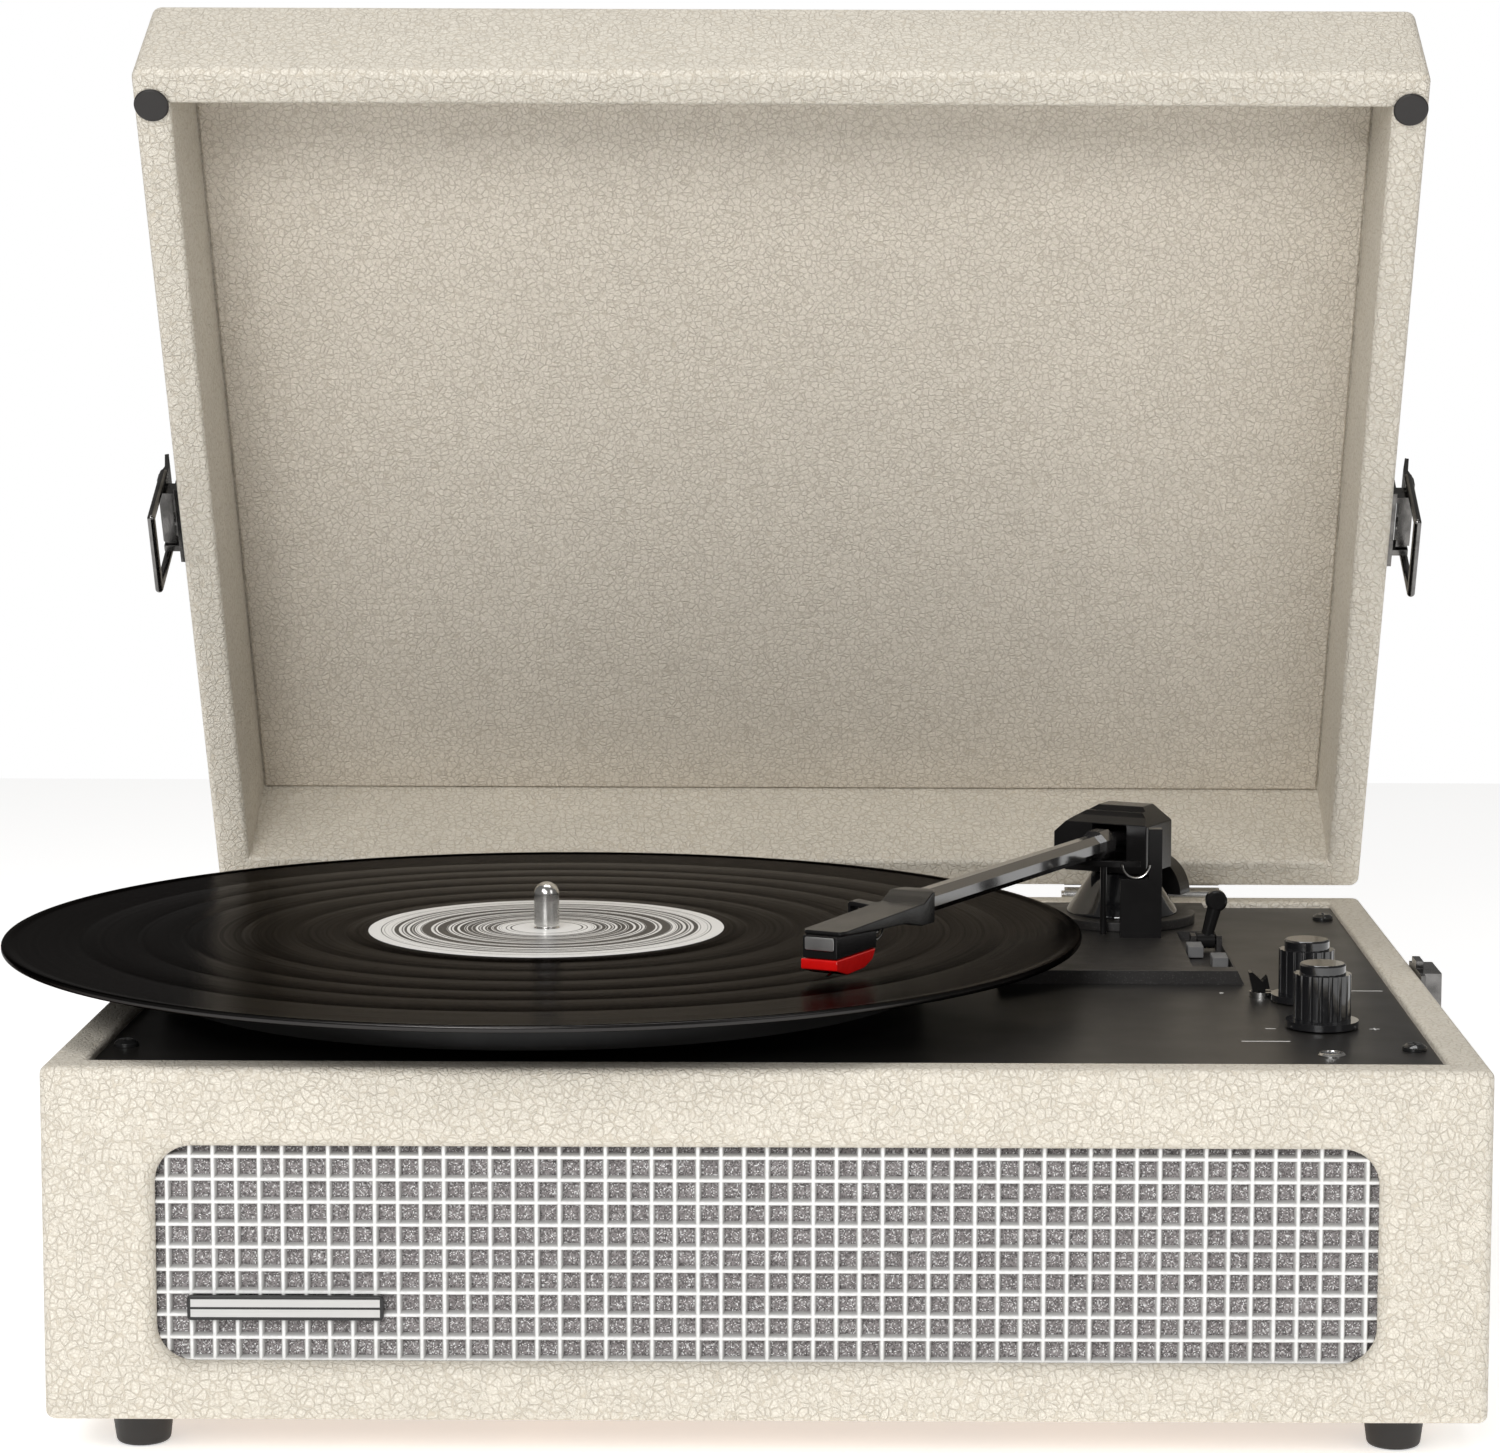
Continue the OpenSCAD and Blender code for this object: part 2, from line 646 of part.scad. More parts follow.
module cartridge() color(black) on_arm() translate([-5, 0, arm_z]) rotate([90, 0, 90])
    linear_extrude(10) polygon([
        [-(arm_length + 7), -0.6], [-(arm_length + 7), -6.6], [-(arm_length - 17), -6.6],
        [-(arm_length - 17), -1.9], [-(arm_length + 5.5), -0.44]
    ]);

module stylus() color([0.80, 0.05, 0.05]) on_arm() translate([-5.3, 0, arm_z]) rotate([90, 0, 90])
    linear_extrude(10.6) polygon([
        [-(arm_length + 7.5), -6.7], [-(arm_length + 7.5), -9.4], [-(arm_length + 1), -11.3],
        [-(arm_length - 9), -11], [-(arm_length - 14), -9.4], [-(arm_length - 16), -6.7]
    ]);

// Half-round weight that hangs behind the pivot block on a short bracket
module rear_weight() color(black) on_arm() {
    weight_low = rim_z + 8.5;
    intersection() {
        rod_y(0, 17, 25, weight_low, 12.5);
        translate([-20, 10, weight_low]) cube([40, 20, 20]);
    }
    translate([-6, 9.7, block_low + 0.4]) cube([12, 8, 2]);
}

module cue_lift_bar() color(black) {
    translate([pivot_x, pivot_y, lift_bar_top - 1.8]) linear_extrude(1.8) difference() {
        circle(lift_bar_r + 1.3);
        circle(lift_bar_r - 1.3);
        rotate(8) translate([0, -60]) square([60, 120]);
        rotate(-46) translate([-60, -60]) square([60, 120]);
    }
    rotate_about_pivot(-16) translate([0, -lift_bar_r, deck_z - 6])
        cylinder(h = lift_bar_top - 1 - deck_z + 6, r = 1);
}

module cue_lever() color(black) {
    ball_x = lever_x + 3;
    ball_z = rim_z + 14.6;
    rod_x(lever_x - 4.4, lever_x + 4.4, lever_y, lever_z, 1);
    rod_x(lever_x - 2.6, lever_x + 2.6, lever_y, lever_z, 2.4);
    translate([lever_x, lever_y, lever_z]) rotate([0, 14, 0]) cylinder(h = 11.5, r1 = 1.7, r2 = 2.2);
    translate([ball_x, lever_y, ball_z]) rotate([90, 0, 0]) rotate_extrude()
        polygon([[0, -2.2], [2.4, -2.2], [3.2, -1.4], [3.2, 1.4], [2.4, 2.2], [0, 2.2]]);
}

// ---------- controls ----------

// A fluted push-on knob with a moulded stem, its underside at the origin
module knob() {
    groove_r = 0.75;
    difference() {
        union() {
            cylinder(h = 1.8, r = knob_r + 2.1);
            cylinder(h = knob_h - 2.8, r = knob_r);
            cylinder(h = knob_h - 0.5, r = 6.25);
            translate([0, 0, knob_h - 0.5]) cylinder(h = 0.5, r1 = 6.25, r2 = 5.8);
        }
        for (i = [0:knob_flutes - 1]) rotate(i * 360 / knob_flutes) translate([knob_r + 0.3, 0, 1.8])
            cylinder(h = knob_h, r = groove_r, $fn = 24);
    }
    translate([0, 0, -10]) cylinder(h = 11, r = 3);
}

module volume_knob() color(black) translate([knob_x, volume_y, deck_z + 0.5]) knob();

module tone_knob() color(black) translate([knob_x, tone_y, deck_z + 0.5]) knob();

module control_bodies() color(steel) {
    for (y = [volume_y, tone_y]) translate([knob_x, y, deck_z - deck_t]) difference() {
        union() {
            translate([0, 0, -12]) cylinder(h = 12, r = 8.2);
            cylinder(h = deck_t - 0.2, r = 3.9);
        }
        translate([0, 0, -8]) cylinder(h = 30, r = 3 + run_gap);
    }
    translate([toggle_x, toggle_y, deck_z - deck_t]) difference() {
        union() {
            translate([-3.8, -6, -9]) cube([7.6, 12, 9]);
            cylinder(h = deck_t + 1.6, r = 3.3);
        }
        translate([-2.9, -1.4, -5]) cube([5.8, 2.8, 12]);
        rod_y(0, -3, 3, 1.6, 0.85);
    }
}

module mode_toggle() color(black) translate([toggle_x, toggle_y, deck_z - deck_t + 1.6]) {
    rod_y(0, -2.8, 2.8, 0, 0.8);
    translate([-1, -1.2, -4]) cube([2, 2.4, 8]);
    translate([0, 0, 3.6]) rotate([0, -12, 0]) difference() {
        translate([-2.6, -2.2, 0]) cube([4.8, 4.4, 5.6]);
        translate([0.6, -3, 2.4]) rotate([0, -35, 0]) cube([6, 6, 8]);
    }
}

module speed_slider() color([0.30, 0.30, 0.30]) slider(left + 303.6, front + 171);

module stop_slider() color([0.30, 0.30, 0.30]) slider(left + 309.2, front + 152);

// A slide switch's thumb piece standing in the tonearm plinth's tray
module slider(x, y) {
    translate([x, y, tray_floor + 0.3]) difference() {
        cube([4.6, 9, 3.4]);
        for (k = [1:3]) translate([-overcut, 9 * k / 4 - 0.4, 2.8]) cube([4.6 + 2 * overcut, 0.8, 2]);
    }
}

module power_led() color([0.75, 0.78, 0.82]) translate([led_x, led_y, 0]) {
    translate([0, 0, deck_z - deck_t - 3]) cylinder(h = deck_t + 3, r = 1.5);
    translate([0, 0, deck_z]) rotate_extrude() polygon([[0, 0], [2.9, 0], [2.9, 0.3], [2.5, 0.7], [1.6, 0.7],
        [1.5, 0.5], [0, 0.9]]);
}

// ---------- electronics ----------

module main_board() color([0.10, 0.35, 0.16]) translate([board_x, board_y, floor_z + 8]) {
    difference() {
        cube([112, 66, 1.6]);
        for (x = [5, 107], y = [5, 61]) translate([x, y, -overcut]) cylinder(h = 4, r = 1.6);
    }
    for (k = [0:2]) translate([22 + 16 * k, 20, 1.6]) cylinder(h = 14, r = 5);
    translate([70, 14, 1.6]) cube([26, 10, 20]);
    translate([20, 36, 1.6]) cube([18, 10, 2.4]);
    translate([50, 38, 1.6]) cube([12, 12, 2]);
    for (k = [0:4]) translate([74 + 5 * k, 38, 1.6]) cylinder(h = 7, r = 2);
}

module board_standoffs() color(brass) for (x = [5, 107], y = [5, 61])
    tube(board_x + x, board_y + y, floor_z, 8, 2.8, 1.4);

module jack_panel() color(black) difference() {
    upright_slab(jack_x, jack_z, jack_w, jack_h, 4, rear, rear + 1.5);
    for (side = [-1, 1]) rod_y(jack_x - 18 + side * 9, rear - overcut, rear + 3, jack_z, 4.3);
    rod_y(jack_x + 14, rear - overcut, rear + 3, jack_z, 3.05);
    rod_y(jack_x + 34, rear - overcut, rear + 3, jack_z, 4.05);
    for (x = [-44, 44]) rod_y(jack_x + x, rear - overcut, rear + 3, jack_z + 11, 1.6);
}

module phono_sockets() color(steel) for (side = [-1, 1]) difference() {
    union() {
        rod_y(jack_x - 18 + side * 9, rear - 8, rear + 2.8, jack_z, 3.5);
        rod_y(jack_x - 18 + side * 9, rear + 2.8, rear + 9.5, jack_z, 4.15);
        rod_y(jack_x - 18 + side * 9, rear - 8, rear, jack_z, 6);
    }
    rod_y(jack_x - 18 + side * 9, rear - 4, rear + 12, jack_z, 1.65);
}

module small_jacks() color(dark_chrome) {
    difference() {
        rod_y(jack_x + 14, rear - 12, rear + 3, jack_z, 3);
        rod_y(jack_x + 14, rear - 10, rear + 4, jack_z, 1.8);
    }
    difference() {
        rod_y(jack_x + 34, rear - 12, rear + 2.5, jack_z, 4);
        rod_y(jack_x + 34, rear - 9, rear + 4, jack_z, 2.8);
    }
    rod_y(jack_x + 34, rear - 10, rear - 0.5, jack_z, 1);
}

// ---------- lid ----------

module lid_shell() color(cream) on_lid() translate([left, front, rim_z]) difference() {
    linear_extrude(lid_h) rounded_rect(body_w, body_d, corner_r);
    translate([wall, wall, -overcut]) cube([in_w, in_d, lid_h - lid_top + overcut]);
}

module lid_lining() color(greige) on_lid()
    translate([left + wall + 0.5, front + wall + 0.5, rim_z + lid_h - lid_top - 1])
        cube([in_w - 1, in_d - 1, 1]);

module lid_bumpers() color(black) on_lid()
    for (x = [left + wall / 2, right - wall / 2]) translate([x, front + 10.5, rim_z - 1.2])
        cylinder(h = 1.2, r = 5);

module latch_plates() color(dark_chrome) on_lid() on_both_sides() difference() {
    union() {
        translate([0, -13, 3]) cube([1.4, 26, 21]);
        for (y = [-10.4, 8.4]) translate([0, y, 5]) cube([latch_out + 2, 2, 6]);
    }
    rod_y(latch_out, -12, 12, latch_up, 1.05);
    for (y = [-6, 6]) rod_x(-overcut, 3, y, 18, 1.6);
}

// Latch lever drawn on the right side: it lies up along the plate and swings outwards
module latch_lever() {
    rod_y(latch_out, -10.3, 10.3, latch_up, 1);
    difference() {
        union() {
            translate([0, 8.1, 0]) rotate([90, 0, 0]) linear_extrude(16.2) polygon([
                [latch_out - 1.8, latch_up - 2], [latch_out + 1.8, latch_up - 2], [latch_out + 1.8, 11],
                [7.6, 12], [7.6, 15.2], [6.6, 20], [7.6, 27], [6.4, 27.4], [5.2, 21], [5, 15],
                [latch_out - 1.8, 11]
            ]);
            translate([0, 11, 0]) rotate([90, 0, 0]) linear_extrude(22) polygon([
                [5, 11.6], [7.8, 11.6], [7.8, 15.2], [6.6, 20], [7.6, 27], [6.4, 27.4], [5.2, 21], [5, 15]
            ]);
        }
        for (y = [-12, 6]) rod_y(loop_out, y, y + 6, loop_up, 0.95);
    }
}

// Wire loop drawn on the right side: its bent ends turn in the lever, its bar hangs down
module latch_loop() {
    low = loop_up - loop_drop;
    arm_y = 12.6;
    for (side = [-1, 1]) {
        translate([loop_out, side * arm_y, low]) cylinder(h = loop_drop, r = loop_wire_r);
        translate([loop_out, side * arm_y, loop_up]) sphere(loop_wire_r);
        translate([loop_out, side * arm_y, low]) sphere(loop_wire_r);
    }
    rod_y(loop_out, -arm_y, arm_y, low, loop_wire_r);
    rod_y(loop_out, -arm_y, -7, loop_up, 0.9);
    rod_y(loop_out, 7, arm_y, loop_up, 0.9);
}

module on_right_side() {
    translate([right, latch_y, rim_z]) children();
}

module on_left_side() {
    translate([left, latch_y, rim_z]) mirror([1, 0, 0]) children();
}

module left_latch_lever() color(dark_chrome) on_lid() on_left_side() latch_lever();

module left_latch_loop() color(dark_chrome) on_lid() on_left_side() latch_loop();

module right_latch_lever() color(dark_chrome) on_lid() on_right_side() latch_lever();

module right_latch_loop() color(dark_chrome) on_lid() on_right_side() latch_loop();

base_case();
bottom_panel();
bottom_screws();
feet();
corner_blocks();
deck_plate();
deck_screws();
speaker_grille();
speaker_cloth();
speaker_baffle();
speaker_frames();
speaker_cones();
speaker_magnets();
front_badge();
base_hinge_leaves();
hinge_pins();
side_catches();
spindle();
spindle_bush();
motor();
motor_mounts();
drive_belt();
tonearm_plinth();
pivot_disc();
pivot_turret();
arm_rest();
control_bodies();
power_led();
main_board();
board_standoffs();
jack_panel();
phono_sockets();
small_jacks();
lid_shell();
lid_lining();
lid_bumpers();
lid_hinge_leaves();
latch_plates();
left_latch_lever();
left_latch_loop();
right_latch_lever();
right_latch_loop();
platter();
platter_rim();
drive_ring();
platter_hub();
platter_mat();
record_disc();
record_label();
motor_pulley();
pivot_block();
arm_tube();
headshell();
cartridge();
stylus();
rear_weight();
cue_lift_bar();
cue_lever();
volume_knob();
tone_knob();
speed_slider();
stop_slider();
mode_toggle();
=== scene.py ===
"""Looks of a suitcase record player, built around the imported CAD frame. Lengths are in metres."""

import json
import math

import bmesh
import bpy
from mathutils import Matrix, Vector


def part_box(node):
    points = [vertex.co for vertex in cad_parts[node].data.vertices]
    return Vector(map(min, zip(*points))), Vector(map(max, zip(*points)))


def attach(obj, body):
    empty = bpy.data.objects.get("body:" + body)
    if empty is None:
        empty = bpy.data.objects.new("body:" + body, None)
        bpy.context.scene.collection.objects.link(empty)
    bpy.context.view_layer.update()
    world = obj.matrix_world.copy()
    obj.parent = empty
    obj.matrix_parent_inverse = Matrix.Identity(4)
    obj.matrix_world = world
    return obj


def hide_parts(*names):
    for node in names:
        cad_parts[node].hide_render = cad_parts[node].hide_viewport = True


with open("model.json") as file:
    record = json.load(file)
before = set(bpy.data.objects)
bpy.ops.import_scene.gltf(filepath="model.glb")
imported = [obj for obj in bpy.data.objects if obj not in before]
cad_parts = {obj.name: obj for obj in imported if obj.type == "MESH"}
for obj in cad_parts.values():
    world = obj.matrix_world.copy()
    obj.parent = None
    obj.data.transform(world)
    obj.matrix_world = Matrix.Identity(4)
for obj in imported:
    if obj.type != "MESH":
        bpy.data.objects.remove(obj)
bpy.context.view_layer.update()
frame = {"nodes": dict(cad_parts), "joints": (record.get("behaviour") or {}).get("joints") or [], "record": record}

MM = 0.001
nodes = frame["nodes"]
joints = {j["name"]: j for j in frame["joints"]}


# ---------- camera, light and floor ----------

CAMERA_PLACE = (0.0368, -1.1573, 0.3022)
CAMERA_TILT = math.radians(83.615)
CAMERA_ROLL = math.radians(0.2)
CAMERA_LENS = 97.3
CAMERA_SHIFT = -0.0776

# the surroundings: their brightness where seen directly, as fill light, and mirrored in glossy faces
BACKDROP = ((1, 1, 1), 1.0)
FILL = ((1, 0.985, 0.96), 0.32)
MIRRORED = ((1, 0.98, 0.95), 0.16)

# name: place, target, width, height and power in watts
LIGHTS = {
    "key_light": ((-0.9, -1.5, 1.5), (0, 0, 0.1), 0.8, 0.8, 7.5),
    "side_light": ((1.3, -1.1, 0.9), (0, 0, 0.1), 0.5, 1.0, 2.5),
    "top_light": ((0.05, -0.06, 1.4), (0.05, 0.02, 0), 0.9, 0.35, 5),
    "front_light": ((-0.3, -1.5, 0.8), (0, 0.15, 0.2), 0.6, 0.5, 11),
}


def make_camera():
    data = bpy.data.cameras.new("camera")
    data.lens = CAMERA_LENS
    data.sensor_width = 36
    data.shift_x = CAMERA_SHIFT
    camera = bpy.data.objects.new("camera", data)
    turn = Matrix.Rotation(CAMERA_TILT, 4, "X") @ Matrix.Rotation(CAMERA_ROLL, 4, "Z")
    camera.matrix_world = Matrix.Translation(CAMERA_PLACE) @ turn
    bpy.context.scene.collection.objects.link(camera)
    bpy.context.scene.camera = camera


def area_light(name, place, target, width, height, power):
    """A soft box that faces its target."""
    data = bpy.data.lights.new(name, "AREA")
    data.shape = "RECTANGLE"
    data.size = width
    data.size_y = height
    data.energy = power
    light = bpy.data.objects.new(name, data)
    light.location = place
    light.rotation_euler = (Vector(target) - Vector(place)).to_track_quat("-Z", "Y").to_euler()
    bpy.context.scene.collection.objects.link(light)


def make_studio():
    """White surroundings that light softly and mirror dimly, and four soft boxes."""
    world = bpy.data.worlds.new("studio")
    bpy.context.scene.world = world
    world.use_nodes = True
    tree = world.node_tree
    tree.nodes.clear()

    def background(look):
        node = tree.nodes.new("ShaderNodeBackground")
        colour, strength = look
        node.inputs["Color"].default_value = (*colour, 1)
        node.inputs["Strength"].default_value = strength
        return node

    def choose(flag, otherwise, chosen):
        mix = tree.nodes.new("ShaderNodeMixShader")
        tree.links.new(ray.outputs[flag], mix.inputs["Fac"])
        tree.links.new(otherwise.outputs[0], mix.inputs[1])
        tree.links.new(chosen.outputs[0], mix.inputs[2])
        return mix

    ray = tree.nodes.new("ShaderNodeLightPath")
    unseen = choose("Is Glossy Ray", background(FILL), background(MIRRORED))
    surface = choose("Is Camera Ray", unseen, background(BACKDROP))
    output = tree.nodes.new("ShaderNodeOutputWorld")
    tree.links.new(surface.outputs[0], output.inputs["Surface"])
    for name, settings in LIGHTS.items():
        area_light(name, *settings)
    bpy.context.scene.view_settings.view_transform = "Standard"


# ---------- shader helpers ----------


class Shader:
    """A material's node tree with its Principled shader, and short ways to add nodes to it."""

    def __init__(self, name):
        self.material = bpy.data.materials.new(name)
        self.material.use_nodes = True
        self.tree = self.material.node_tree
        self.main = self.tree.nodes["Principled BSDF"]

    def add(self, kind, links=None, **values):
        node = self.tree.nodes.new("ShaderNode" + kind)
        for key, value in values.items():
            if hasattr(node, key):
                setattr(node, key, value)
            else:
                node.inputs[key.replace("_", " ")].default_value = value
        for key, source in (links or {}).items():
            self.tree.links.new(source, node.inputs[key])
        return node

    def place(self):
        return self.add("TexCoord").outputs["Object"]

    def noise(self, scale, detail=2.0, stretch=None):
        at = self.place()
        if stretch:
            at = self.add("Mapping", {"Vector": at}, Scale=stretch).outputs[0]
        return self.add("TexNoise", {"Vector": at}, Scale=scale, Detail=detail).outputs["Fac"]

    def banded(self, value, scale, detail):
        """Noise along one value, such as the distance from an axis."""
        along = self.math("MULTIPLY", value, scale)
        noise = self.add("TexNoise", {"W": along}, noise_dimensions="1D", Scale=1.0, Detail=detail)
        return noise.outputs["Fac"]

    def cracks(self, at, scale):
        """Distance to the nearest edge between irregular cells."""
        cells = self.add("TexVoronoi", {"Vector": at}, feature="DISTANCE_TO_EDGE", Scale=scale)
        return cells.outputs["Distance"]

    def math(self, operation, a, b=0.0):
        node = self.add("Math", operation=operation)
        for socket, value in zip(node.inputs, (a, b)):
            if isinstance(value, (int, float)):
                socket.default_value = value
            else:
                self.tree.links.new(value, socket)
        return node.outputs[0]

    def steps(self, value, *stops):
        """A ramp from (position, grey or colour) stops."""
        ramp = self.add("ValToRGB", {"Fac": value})
        elements = ramp.color_ramp.elements
        while len(elements) < len(stops):
            elements.new(0.5)
        for element, (position, colour) in zip(elements, stops):
            element.position = position
            shown = (colour,) * 3 if isinstance(colour, (int, float)) else tuple(colour)
            element.color = (*shown, 1)
        return ramp.outputs["Color"]

    def blend(self, share, a, b):
        """Colour a where share is 0 and b where it is 1."""
        node = self.add("Mix", data_type="RGBA")
        self.tree.links.new(share, node.inputs["Factor"])
        for socket, value in ((node.inputs["A"], a), (node.inputs["B"], b)):
            socket = [s for s in node.inputs if s.name == socket.name and s.type == "RGBA"][0]
            if isinstance(value, tuple):
                socket.default_value = (*value, 1)
            else:
                self.tree.links.new(value, socket)
        return [s for s in node.outputs if s.type == "RGBA"][0]

    def bump(self, height, distance, strength=1.0, under=None):
        node = self.add("Bump", {"Height": height}, Distance=distance, Strength=strength)
        if under:
            self.tree.links.new(under, node.inputs["Normal"])
        return node.outputs[0]

    def feed(self, **sources):
        for key, source in sources.items():
            socket = self.main.inputs[key.replace("_", " ")]
            if isinstance(source, (int, float)):
                socket.default_value = source
            elif isinstance(source, tuple):
                socket.default_value = (*source, 1)
            else:
                self.tree.links.new(source, socket)
        return self


def scaled(colour, factor):
    return tuple(c * factor for c in colour)


def leather(name, colour, crease_shade, cell, depth, rough=0.5):
    """Leatherette: irregular large and small cells with fine low creases, broad folds and a faint mottle, and
    painted shade that darkens the creases.
    """
    s = Shader(name)
    wobble = s.add("TexNoise", {"Vector": s.place()}, Scale=0.45 / cell, Detail=4.0)
    ends = {"Color1": s.place(), "Color2": wobble.outputs["Color"]}
    shifted = s.add("MixRGB", ends, blend_type="LINEAR_LIGHT")
    shifted.inputs["Fac"].default_value = cell * 0.6
    broken = s.steps(s.noise(0.8 / cell, 3), (0.34, 0.45), (0.58, 1.0))
    wide = s.steps(s.cracks(shifted.outputs[0], 1 / cell), (0.0, 1.0), (0.045, 0.55), (0.13, 0.0))
    fine = s.steps(s.cracks(shifted.outputs[0], 2.3 / cell), (0.0, 0.42), (0.07, 0.2), (0.20, 0.0))
    sunk = s.math("MINIMUM", s.math("ADD", s.math("MULTIPLY", wide, broken), fine), 1.0)
    height = s.math("SUBTRACT", 1.0, sunk)
    folds = s.noise(0.16 / cell, 5)
    body = s.blend(s.steps(s.noise(60, 4), (0.3, 0.0), (0.7, 1.0)), colour, scaled(colour, 0.95))
    # painted shade: the sunk creases are painted towards the darker crease colour
    crease_shaded = s.blend(s.math("MULTIPLY", sunk, 0.62), body, crease_shade)
    low = s.bump(folds, 0.5 * depth, 0.6)
    s.feed(Base_Color=crease_shaded, Normal=s.bump(height, depth, 0.9, low))
    s.feed(Roughness=s.steps(height, (0.0, rough + 0.12), (0.7, rough), (1.0, rough - 0.05)))
    s.feed(Specular_IOR_Level=0.4)
    return s.material


def moulded(name, colour, rough, grain=0.0006, depth=0.00003, coat=0.0, metal=0.0, spread=0.14, light=1.35,
             gloss=0.5):
    """Moulded plastic or plain metal: fine grain in the relief, uneven gloss and faint rubbed patches."""
    s = Shader(name)
    fine = s.noise(1 / grain, 3)
    broad = s.noise(45, 4)
    rubbed = s.steps(s.noise(160, 5), (0.52, 0.0), (0.72, 0.35))
    shade = s.blend(s.steps(broad, (0.3, 0.0), (0.7, 1.0)), colour, scaled(colour, light))
    s.feed(Base_Color=s.blend(rubbed, shade, scaled(colour, light * 1.25)))
    uneven = s.math("MULTIPLY", s.math("SUBTRACT", s.noise(90, 4), 0.5), spread * 2)
    s.feed(Roughness=s.math("ADD", uneven, rough), Normal=s.bump(fine, depth, 0.6))
    s.feed(Metallic=metal, Coat_Weight=coat, Coat_Roughness=0.08, Specular_IOR_Level=gloss)
    return s.material


def speckled_black(name):
    """Coarse satin black paint with light specks, as on the tonearm's base."""
    s = Shader(name)
    specks = s.add("TexVoronoi", {"Vector": s.place()}, Scale=1700.0)
    lift = s.steps(specks.outputs["Distance"], (0.0, 1.0), (0.22, 0.55), (0.42, 0.0))
    pick = s.steps(s.noise(2600, 1), (0.5, 0.0), (0.62, 1.0))
    dots = s.math("MULTIPLY", lift, pick)
    s.feed(Base_Color=s.blend(dots, (0.022, 0.020, 0.019), (0.10, 0.095, 0.09)))
    s.feed(Roughness=s.steps(s.noise(120, 4), (0.3, 0.36), (0.7, 0.5)))
    s.feed(Normal=s.bump(lift, 0.00006, 0.7))
    return s.material


def deck_black(name):
    """Satin black sheet with a soft sheen and a very fine texture."""
    s = Shader(name)
    broad = s.noise(14, 3)
    s.feed(Base_Color=s.blend(broad, (0.014, 0.0128, 0.012), (0.021, 0.0195, 0.018)))
    s.feed(Roughness=s.steps(s.noise(40, 4), (0.3, 0.33), (0.7, 0.40)), Specular_IOR_Level=0.42)
    s.feed(Normal=s.bump(s.noise(1500, 3), 0.00003, 0.35))
    return s.material


def polished(name, colour, rough, dull, scratch=0.00001):
    """Plated or turned metal with fine drawn lines, smudges and duller patches."""
    s = Shader(name)
    lines = s.noise(900, 3, stretch=(1, 1, 0.04))
    smudge = s.noise(220, 5)
    s.feed(Base_Color=s.blend(s.steps(smudge, (0.4, 0.0), (0.75, 1.0)), colour, scaled(colour, dull)))
    s.feed(Roughness=s.steps(smudge, (0.3, rough), (0.8, rough + 0.16)), Metallic=1.0)
    s.feed(Normal=s.bump(lines, scratch, 0.6))
    return s.material


def ring_radius(s, centre):
    """Distance from an upright axis through centre, in millimetres."""
    near = s.add("VectorMath", {0: s.place()}, operation="SUBTRACT")
    near.inputs[1].default_value = (centre[0], centre[1], 0)
    flat = s.add("VectorMath", {0: near.outputs[0]}, operation="MULTIPLY")
    flat.inputs[1].default_value = (1000, 1000, 0)
    return s.add("VectorMath", {0: flat.outputs[0]}, operation="LENGTH").outputs["Value"]


def vinyl(name, centre):
    """Pressed black vinyl: fine grooves whose loudness changes outwards, smoother gaps between the tracks."""
    s = Shader(name)
    radius = ring_radius(s, centre)
    loud = s.steps(s.banded(radius, 0.8, 6.0), (0.3, 0.0), (0.7, 1.0))
    grooves = s.banded(radius, 7.0, 3.0)
    s.feed(Base_Color=s.blend(loud, (0.028, 0.0265, 0.026), (0.044, 0.042, 0.041)))
    s.feed(Roughness=s.steps(loud, (0.0, 0.15), (1.0, 0.23)), Metallic=1.0, Anisotropic=0.6)
    s.feed(Specular_Tint=(0.26, 0.25, 0.245))
    s.feed(Normal=s.bump(grooves, 0.00003, 0.5))
    around = s.add("Tangent", direction_type="RADIAL", axis="Z")
    s.feed(Tangent=around.outputs[0])
    return s.material


def paper_label(name, centre):
    """White paper with uneven black rings, closer together half way out. Radii are in millimetres."""
    outside, first_ring, last_ring = 50.0, 9.0, 46.5
    s = Shader(name)
    radius = ring_radius(s, centre)
    coarse = s.math("MULTIPLY", s.banded(radius, 0.46, 1.0), 0.42)
    sharp = s.math("MULTIPLY", s.banded(radius, 1.35, 2.0), 0.58)
    middle = s.steps(s.math("DIVIDE", radius, outside), (0.16, 0.0), (0.34, 0.09), (0.62, 0.14), (0.86, 0.05),
                     (0.94, -0.2))
    total = s.math("ADD", s.math("ADD", coarse, sharp), middle)
    ink = s.steps(total, (0.575, 0.0), (0.595, 1.0))
    above = s.math("GREATER_THAN", radius, first_ring)
    below = s.math("LESS_THAN", radius, last_ring)
    inked = s.math("MULTIPLY", ink, s.math("MULTIPLY", above, below))
    fibre = s.noise(1500, 4)
    paper = s.blend(fibre, (0.80, 0.79, 0.77), (0.88, 0.875, 0.86))
    s.feed(Base_Color=s.blend(inked, paper, (0.018, 0.017, 0.017)), Roughness=0.42)
    s.feed(Normal=s.bump(fibre, 0.00002, 0.4), Coat_Weight=0.15, Coat_Roughness=0.25)
    return s.material


